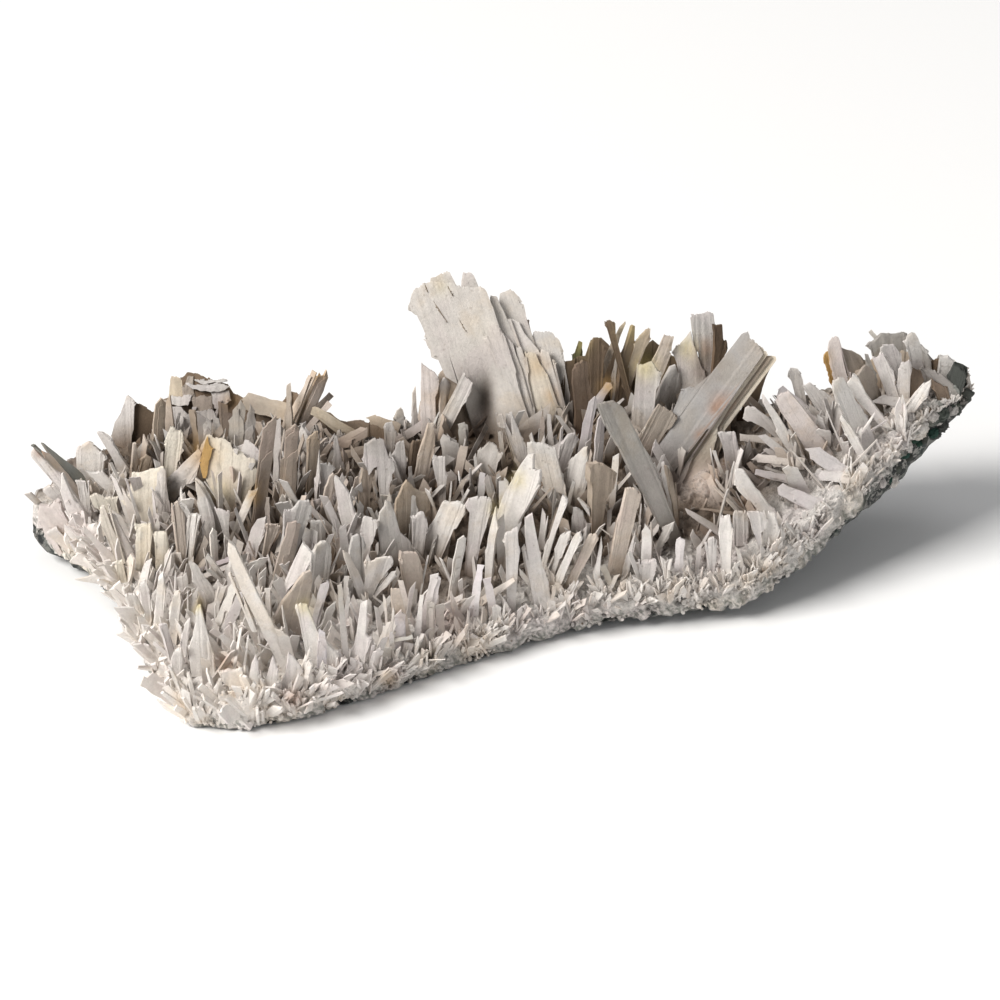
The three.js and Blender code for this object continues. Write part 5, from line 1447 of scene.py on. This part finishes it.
def make_small_blades():
    """Small blades between the others: over the crust, along its front lip and down its back."""
    s = bpy.context.scene.specimen_growth
    rng = np.random.default_rng(s.seed)
    tries = s.small_blades
    spray = np.sort(rng.integers(0, tries // 3, tries))  # blades of one spray grow from one spot
    x = rng.uniform(LEFT_X + 3, RIGHT_X - 3, tries)[spray] + rng.normal(0, 0.9, tries)
    front_y, _, lip, _, back_y, _, rear = section_at(x)
    zone = rng.random(tries)[spray]
    front, back = zone < LIP_ZONE, zone > BACK_ZONE
    share = rng.uniform(0.0, 1.0, tries)[spray] + rng.normal(0, 0.008, tries)
    share = np.clip(np.where(front, 0, np.where(back, 1, share)), 0, 1)
    foot = surface_point(x, share)
    low = np.clip(rng.random(tries)[spray] + rng.normal(0, 0.06, tries), 0, 1)
    foot[:, 1] += np.where(front, -1.2, np.where(back, 1.2, 0))
    foot[:, 2] = np.where(front, mix(seam_at(x, 0.0) + 1.5, lip, low), foot[:, 2])
    foot[:, 2] = np.where(back, mix(seam_at(x, 1.0) + 1.5, rear, low), foot[:, 2])
    across, up = as_seen(foot)
    keep = np.where(front | back, 1.0, (back_y - front_y) / 190) > rng.random(tries)[spray]
    keep &= rng.random(tries)[spray] > bare_at(across, up)
    length = rng.uniform(s.small_length[0], s.small_length[1], tries) * np.where(front | back, 0.6, 1.0)
    length *= between(x, END_LENGTH)
    length *= np.where(front, between(x, LIP_LENGTH), 1)
    stout = np.where(front, between(x, LIP_STOUTNESS), 1.0)
    width = mix(s.small_width[0], s.small_width[1], rng.random(tries) ** 2)
    width *= np.where(front, between(x, LIP_WIDTH), np.where(back, 0.65, 1.0))
    sideways = between(across, SIDEWAYS_LEAN) + rng.normal(0, 11, tries)[spray]
    sideways = np.radians(sideways + rng.normal(0, 20, tries))
    lean = np.radians(rng.normal(0, 8, tries)[spray] + rng.normal(0, 14, tries))
    lean += mix(FRONT_LEAN, BACK_LEAN, share)
    lean += np.radians(np.where(share > 0.85, rng.uniform(0, 40, tries), 0))
    lean -= np.radians(np.where(front, rng.uniform(0, 30, tries) * (1.2 - low), 0))
    axis = np.stack([np.sin(sideways), np.sin(lean) * np.cos(sideways), np.cos(lean) * np.cos(sideways)], -1)
    turn = np.radians(rng.normal(0, 46, tries))
    facing = np.stack([np.sin(turn), -np.cos(turn), np.full(tries, 0.2)], -1)
    length = shortened(foot, axis, length)
    keep &= length > SHORTEST
    root = buried(foot, axis, 4.0)
    for index, (name, (first, last)) in enumerate(THIRDS.items()):
        plates = Plates(s.seed + 1 + index)
        for k in np.flatnonzero(keep & (x >= first) & (x < last)):
            tint = TINTS[rng.choice(SMALL_BLADE_COLOURS)] * rng.normal(1, 0.07)
            tint = whitened(foot[k][None], tint, 1.08, 0.8)[0]
            plates.blade(
                foot[k], axis[k], facing[k], width[k], length[k], rng.uniform(0.6, 1.6) * stout[k], root[k],
                rng.uniform(-0.6, 0.6), tint, leaves=0, strip=3.0, rows=5, pointed=0.6, ragged=0.08,
            )
        settle(plates.mesh(name), blade_quartz())


FRONT_CHIPS, BACK_CHIPS = 0.4, 0.1  # shares of the chips on the front lip and on the back


def make_rubble():
    """Short stubs and chips: along the front lip, over the bare slopes and down the back."""
    s = bpy.context.scene.specimen_growth
    plates = Plates(s.seed + 6)
    rng = plates.rng
    for _ in range(s.chips):
        x = rng.uniform(LEFT_X + 7, RIGHT_X - 1)
        front_y, _, lip, _, back_y, _, rear = (float(v) for v in section_at(x))
        place = rng.random()
        if place < FRONT_CHIPS:
            foot = np.array([x, front_y - 1.0, rng.uniform(float(seam_at(x, 0.0)) + 1.5, lip)])
            axis = np.array([rng.normal(0, 0.45), -0.35, rng.normal(1.0, 0.2)])
        elif place < FRONT_CHIPS + BACK_CHIPS:
            foot = np.array([x, back_y + 1.2, rng.uniform(float(seam_at(x, 1.0)) + 1, rear)])
            axis = np.array([rng.normal(0, 0.6), 0.7, rng.normal(0.7, 0.6)])
        else:
            foot = surface_point(np.float64(x), rng.random() ** 1.3)
            axis = np.array([rng.normal(0, 0.5), rng.normal(-0.2, 0.4), 1])
            if rng.random() < 1.5 * mound_at(*as_seen(foot)):
                continue
        axis = unit(axis)
        facing = unit(np.cross(axis, rng.normal(0, 1, 3)))
        half, slant = rng.uniform(0.25, 1.0), rng.normal(0, 1.2)
        reach = rng.uniform(1.5, 6.5) if rng.random() < 0.6 else rng.uniform(0.8, 2.5)
        plates.plate(
            3, foot, axis, facing, [-half, half], -1.5, [reach - slant / 2, reach + slant / 2], 0,
            rng.uniform(0.5, 1.5), bow=0, widen=rng.uniform(1.0, 2.6), ragged=0.1,
            tint=whitened(foot[None], TINTS["dust"], 1.08)[0] * rng.normal(1.0, 0.09),
        )
    settle(plates.mesh("chips_and_stubs"), blade_quartz())


# Glassy lumps at the right end: across, up, radius and colour.
LUMPS = [
    (193.3, 89.4, 4.2, "chalk"), (188.9, 93.1, 3.3, "ash"), (191.8, 86.5, 3.5, "chalk"),
    (198.4, 94.6, 2.9, "ash"), (183.7, 90.2, 3.6, "chalk"), (180.8, 85, 3.2, "chalk"),
    (183.7, 82.1, 3, "ash"), (187.4, 80.6, 3.2, "chalk"), (178.6, 78.4, 3, "chalk"),
    (201.3, 92.4, 2.2, "ash"), (176.4, 74, 2.9, "ash"), (174.2, 68.9, 2.9, "chalk"),
    (180.8, 64.5, 2.6, "chalk"), (175.7, 63.8, 2.2, "ash"), (207.9, 97.5, 2.9, "dust"),
    (204.3, 101.2, 2.2, "ash"), (170.5, 65.2, 2.5, "chalk"), (166, 60, 2.4, "ash"),
    (196.9, 91.6, 2.2, "glass green"), (190.3, 83.6, 2.3, "glass green"), (179.3, 65.2, 2, "glass green"),
    (206.5, 96.8, 2, "glass green"), (192.5, 82.1, 1.9, "glass green"), (186, 77, 2.4, "glass green"),
    (199, 87, 2.4, "glass green"), (194.7, 84.4, 2.6, "soot"), (202.8, 90.2, 3, "soot"),
    (207.9, 92.4, 2.6, "soot"), (187.6, 75.6, 2.4, "soot"), (200.6, 86.4, 2.6, "slate"),
    (210.5, 97.6, 2.4, "slate"), (182.4, 70.4, 2.2, "slate"), (181, 75.2, 2.2, "slate green"),
    (169.5, 61.4, 2.2, "slate green"), (204, 95.4, 2.4, "slate green"), (196.5, 97.2, 2, "dirt_and_shade"),
]
DARK_CRUMBS = 0.14  # share of the crumbs that are dark rock


def ball_grid(rings, around):
    """A unit ball as a grid of rings, without its two ends."""
    down = np.linspace(0, math.pi, rings + 2)[1:-1, None]
    turn = np.linspace(0, 2 * math.pi, around, endpoint=False)[None]
    return np.stack([np.sin(down) * np.cos(turn), np.sin(down) * np.sin(turn), np.cos(down) + 0 * turn], -1)


def add_grains(parts, centres, radii, tints, rings, around, rng):
    """Adds one rough rounded grain at each centre."""
    grid = ball_grid(rings, around)
    ball, faces = with_ends(grid.reshape(-1, 3), closed_loft(grid), grid)
    ball = np.concatenate([ball[:-2], [[0, 0, 1], [0, 0, -1]]])
    squash = rng.uniform(0.7, 1.2, (len(centres), 1, 3))
    rough = rng.normal(1, 0.08, (len(centres), len(ball), 1))
    points = centres[:, None] + radii[:, None, None] * squash * ball * rough
    first = sum(len(p) for p, _, _ in parts)
    steps = np.arange(len(centres))[:, None, None] * len(ball) + first
    parts.append((points.reshape(-1, 3), (faces[None] + steps).reshape(-1, 4), tints.repeat(len(ball), 0)))


def make_grains():
    """Rounded grains: glassy lumps at the right end, and crumbs over the rims."""
    s = bpy.context.scene.specimen_growth
    rng = np.random.default_rng(s.seed + 12)
    parts = []
    across, up, radii = np.array([lump[:3] for lump in LUMPS]).T
    colours = np.array([TINTS[lump[3]] for lump in LUMPS])
    centres = first_sight(across, up, 2.5) + TOWARDS_EYE * (0.8 * radii)[:, None]
    met = ~np.isnan(centres[:, 0])
    add_grains(parts, centres[met], radii[met], colours[met], 14, 20, rng)
    x = rng.uniform(LEFT_X + 5, RIGHT_X - 3, s.crumbs)
    front_y, _, lip, _, _, _, _ = section_at(x)
    low = rng.random(s.crumbs)
    bulge = lip_bulge(low) + rng.uniform(0.2, 1.6, s.crumbs)
    wall = np.stack([x, front_y - bulge, mix(seam_at(x, 0.0) - 1, lip, low)], -1)
    on_wall = (rng.random(s.crumbs) < 0.6)[:, None]
    centres = np.where(on_wall, wall, surface_point(x, 0.3 * rng.random(s.crumbs) ** 2))
    tints = whitened(centres, TINTS["dust"], 1.1) * rng.normal(1, 0.08, (s.crumbs, 1))
    tints *= np.where(rng.random(s.crumbs) < DARK_CRUMBS, 0.35, 1)[:, None]
    tints *= mix(1, 0.3, smooth(x, 196, 210))[:, None]
    radii = rng.uniform(0.5, 1.5, s.crumbs) * rng.uniform(0.6, 1, s.crumbs)
    add_grains(parts, centres, radii, tints, 4, 8, rng)
    points, faces, tint = (np.concatenate(v) for v in zip(*parts))
    points[:, 2] = np.maximum(points[:, 2], LOWEST)
    piece = make_mesh("grains_and_lumps", points, faces, shade_of_place(points, tint), points)
    settle(piece, crust_quartz())


# Stage.

FLOOR_REACH = 6.0
FLOOR_DROP = 0.0003
AIM = (0, 0.02, 0.05)
SENSOR = 36


def area_light(name, place, size, power, colour):
    """A softbox that faces the specimen."""
    data = bpy.data.lights.new(name, "AREA")
    data.shape = "RECTANGLE"
    data.size, data.size_y = size
    data.energy = power
    data.color = colour
    lamp = bpy.data.objects.new(name, data)
    lamp.location = place
    lamp.rotation_euler = (Vector(AIM) - Vector(place)).to_track_quat("-Z", "Y").to_euler()
    bpy.context.scene.collection.objects.link(lamp)


def make_floor(colour):
    mesh = bpy.data.meshes.new("floor")
    sides = ((-1, -1), (1, -1), (1, 1), (-1, 1))
    mesh.from_pydata([(x * FLOOR_REACH, y * FLOOR_REACH, 0) for x, y in sides], [], [(0, 1, 2, 3)])
    floor = bpy.data.objects.new("floor", mesh)
    bpy.context.scene.collection.objects.link(floor)
    floor.location.z = -FLOOR_DROP
    n = Nodes("pale floor")
    n.shader.inputs["Base Color"].default_value = rgba(colour)
    n.shader.inputs["Roughness"].default_value = 0.9
    mesh.materials.append(n.material)


def make_stage():
    """The floor, the even light, three softboxes and the camera."""
    s = bpy.context.scene.specimen_stage
    scene = bpy.context.scene
    make_floor(s.floor)
    world = bpy.data.worlds.new("soft surround")
    world.use_nodes = True
    world.node_tree.nodes["Background"].inputs[0].default_value = (1, 1, 1, 1)
    world.node_tree.nodes["Background"].inputs[1].default_value = s.surround
    scene.world = world
    area_light("key softbox", (-3.3, -1.9, 3.7), (2.6, 2.6), s.key, (1.0, 0.98, 0.95))
    area_light("fill softbox", (2.6, -2.4, 1.8), (2.4, 2.0), s.fill, (0.95, 0.97, 1.0))
    area_light("top softbox", (0.2, 0.9, 3.8), (2.8, 1.8), s.top, (1.0, 1.0, 1.0))
    camera_data = bpy.data.cameras.new("camera")
    camera_data.sensor_width = SENSOR
    camera_data.lens = SENSOR * EYE_DISTANCE / s.field_mm
    camera_data.clip_start, camera_data.clip_end = 0.05, 30
    camera = bpy.data.objects.new("camera", camera_data)
    turn = Matrix((ACROSS, UP, TOWARDS_EYE)).transposed().to_4x4()
    camera.matrix_world = Matrix.Translation(Vector(EYE * MM)) @ turn
    scene.collection.objects.link(camera)
    scene.camera = camera
    scene.view_settings.view_transform = "Standard"


# Settings, as a user would change them.

def colour_setting(name, description, default):
    return bpy.props.FloatVectorProperty(
        name=name, description=description, default=default, subtype="COLOR", size=3, min=0, max=1
    )


def range_setting(name, description, default):
    return bpy.props.FloatVectorProperty(name=name, description=description, size=2, default=default, min=0)


def number_setting(name, description, default, least=0, **more):
    return bpy.props.FloatProperty(name=name, description=description, default=default, min=least, **more)


def count_setting(name, description, default, least=0):
    return bpy.props.IntProperty(name=name, description=description, default=default, min=least)


class QuartzSettings(bpy.types.PropertyGroup):
    lilac: colour_setting("Lilac patches", "What the cooler patches are multiplied by", (0.96, 0.93, 0.95))
    warm: colour_setting("Warm patches", "What the warmer patches are multiplied by", (1.0, 0.95, 0.88))
    speck: colour_setting("Specks", "Rusty and dark specks in the quartz", (0.16, 0.11, 0.07))
    grain: number_setting("Grain", "Size of the sugary quartz grain", 0.0011, 0.0002, max=0.01, unit="LENGTH")


class GrowthSettings(bpy.types.PropertyGroup):
    seed: count_setting("Seed", "Seed of the random growth", 7)
    popcorn: number_setting("Crust relief", "Height of its rounded grains, in millimetres", 1.5, max=6)
    overhang: number_setting("Overhang", "How far the crust hangs over the rock, in millimetres", 5.0, max=10)
    small_blades: count_setting("Small blades", "How many small blades are tried over the crust", 6200)
    small_length: range_setting("Small blade length", "Shortest and longest, in millimetres", (8, 30))
    small_width: range_setting("Small blade width", "Narrowest and widest, in millimetres", (1.8, 7.5))
    crumbs: count_setting("Crumbs", "How many rounded grains lie on the rims", 1100, least=1)
    chips: count_setting("Chips", "How many chips and stubs lie on the crust", 3200)


class RockSettings(bpy.types.PropertyGroup):
    dark: colour_setting("Dark rock", "Darkest colour of the host rock", (0.006, 0.008, 0.008))
    grey: colour_setting("Grey rock", "Lighter colour of the host rock", (0.050, 0.058, 0.054))
    green: colour_setting("Green patches", "Blue-green patches of the host rock", (0.010, 0.048, 0.037))
    dust: colour_setting("Quartz dust", "Pale quartz grains on the host rock", (0.40, 0.38, 0.35))


class StageSettings(bpy.types.PropertyGroup):
    floor: colour_setting("Floor", "Colour of the floor", (0.92, 0.92, 0.92))
    surround: number_setting("Surround", "Strength of the even light", 0.245)
    key: number_setting("Key", "Power of the key softbox", 368, unit="POWER")
    fill: number_setting("Fill", "Power of the fill softbox", 16, unit="POWER")
    top: number_setting("Top", "Power of the top softbox", 16, unit="POWER")
    field_mm: number_setting("Field", "Width seen at the specimen, in millimetres", 460, least=100)


class SPECIMEN_OT_crust(bpy.types.Operator):
    """Grow the granular quartz crust"""

    bl_idname = "specimen.crust"
    bl_label = "Quartz crust"

    def execute(self, context):
        make_crust()
        return {"FINISHED"}


class SPECIMEN_OT_rock(bpy.types.Operator):
    """Break out the slab of host rock"""

    bl_idname = "specimen.rock"
    bl_label = "Host rock"

    def execute(self, context):
        make_rock()
        return {"FINISHED"}


class SPECIMEN_OT_blades(bpy.types.Operator):
    """Grow the blades that have a place of their own, one piece for each region"""

    bl_idname = "specimen.blades"
    bl_label = "Blades"

    def execute(self, context):
        for index, group in enumerate(BLADES):
            make_blades(group, BLADE_SEED + index)
        return {"FINISHED"}


class SPECIMEN_OT_fan(bpy.types.Operator):
    """Stack the tall fan of sheets"""

    bl_idname = "specimen.fan"
    bl_label = "Fan of sheets"

    def execute(self, context):
        make_sheets("fan_of_sheets", FAN, (8, 82), 31, press_fan, uneven=0.012, widest=1.5)
        return {"FINISHED"}


class SPECIMEN_OT_great_blade(bpy.types.Operator):
    """Stack the great laminated blade"""

    bl_idname = "specimen.great_blade"
    bl_label = "Great blade"

    def execute(self, context):
        make_sheets("great_blade", GREAT_BLADE, (84, 64), 37, uneven=0.012, widest=1.5)
        return {"FINISHED"}


class SPECIMEN_OT_tongue(bpy.types.Operator):
    """Grow the broad cream tongue at the left, with its ochre edge"""

    bl_idname = "specimen.tongue"
    bl_label = "Cream tongue"

    def execute(self, context):
        make_sheets("cream_tongue", TONGUE, (-124, 46), 41)
        return {"FINISHED"}


class SPECIMEN_OT_drawn_plates(bpy.types.Operator):
    """Grow the plates that have an outline of their own"""

    bl_idname = "specimen.drawn_plates"
    bl_label = "Drawn plates"

    def execute(self, context):
        for index, (region, (corner, grid, drawn)) in enumerate(DRAWN_PLATES.items()):
            make_drawn_plates("plates_" + region, corner, grid, drawn, DRAWN_SEED + index)
        return {"FINISHED"}


class SPECIMEN_OT_left_plates(bpy.types.Operator):
    """Grow the hump, the broad cream plate and the nest of broken plates at the left"""

    bl_idname = "specimen.left_plates"
    bl_label = "Left plates"

    def execute(self, context):
        make_sheets("hump_block", HUMP, (-167, 80), 51)
        make_sheets("broad_cream_plate", BROAD_PLATE, (-160, 42), 52)
        make_sheets("nest_of_plates", NEST, (-128, 88), 53)
        return {"FINISHED"}


class SPECIMEN_OT_backing(bpy.types.Operator):
    """Stand dark sheets along the back, behind the blades"""

    bl_idname = "specimen.backing"
    bl_label = "Backing sheets"

    def execute(self, context):
        for index, (sheet, foot) in enumerate(zip(BACKING, BACKING_FEET)):
            name = f"backing_sheet_{index + 1}"
            make_sheets(name, [sheet], foot, BACKING_SEED + index, uneven=0.3, widest=3.5)
        return {"FINISHED"}


class SPECIMEN_OT_small_blades(bpy.types.Operator):
    """Scatter the small blades between the others"""

    bl_idname = "specimen.small_blades"
    bl_label = "Small blades"

    def execute(self, context):
        make_small_blades()
        return {"FINISHED"}


class SPECIMEN_OT_rubble(bpy.types.Operator):
    """Scatter chips and stubs over the lip, the bare slopes and the back"""

    bl_idname = "specimen.rubble"
    bl_label = "Chips and stubs"

    def execute(self, context):
        make_rubble()
        return {"FINISHED"}


class SPECIMEN_OT_grains(bpy.types.Operator):
    """Scatter rounded grains over the rims and set the glassy lumps at the right end"""

    bl_idname = "specimen.grains"
    bl_label = "Grains and lumps"

    def execute(self, context):
        make_grains()
        return {"FINISHED"}


class SPECIMEN_OT_stage(bpy.types.Operator):
    """Set up the floor, the softboxes and the camera"""

    bl_idname = "specimen.stage"
    bl_label = "Stage"

    def execute(self, context):
        make_stage()
        return {"FINISHED"}


STEPS = (
    SPECIMEN_OT_rock, SPECIMEN_OT_crust, SPECIMEN_OT_blades, SPECIMEN_OT_fan, SPECIMEN_OT_great_blade,
    SPECIMEN_OT_tongue, SPECIMEN_OT_left_plates, SPECIMEN_OT_drawn_plates, SPECIMEN_OT_backing,
    SPECIMEN_OT_small_blades, SPECIMEN_OT_rubble, SPECIMEN_OT_grains, SPECIMEN_OT_stage,
)
SETTINGS = {
    "specimen_quartz": QuartzSettings, "specimen_growth": GrowthSettings, "specimen_rock": RockSettings,
    "specimen_stage": StageSettings,
}


class SPECIMEN_PT_sidebar(bpy.types.Panel):
    """The specimen's steps and settings"""

    bl_idname = "SPECIMEN_PT_sidebar"
    bl_label = "Specimen"
    bl_space_type = "VIEW_3D"
    bl_region_type = "UI"
    bl_category = "Specimen"

    def draw(self, context):
        for step in STEPS:
            self.layout.operator(step.bl_idname)
        for group in SETTINGS:
            settings = getattr(context.scene, group)
            box = self.layout.box()
            for key in settings.__annotations__:
                box.prop(settings, key)


def register():
    for kind in (*SETTINGS.values(), *STEPS, SPECIMEN_PT_sidebar):
        bpy.utils.register_class(kind)
    for group, kind in SETTINGS.items():
        setattr(bpy.types.Scene, group, bpy.props.PointerProperty(type=kind))


def unregister():
    for group in SETTINGS:
        delattr(bpy.types.Scene, group)
    for kind in reversed((*SETTINGS.values(), *STEPS, SPECIMEN_PT_sidebar)):
        bpy.utils.unregister_class(kind)


def main():
    register()
    for step in STEPS:
        family, name = step.bl_idname.split(".")
        getattr(getattr(bpy.ops, family), name)()


if __name__ == "__main__":
    main()
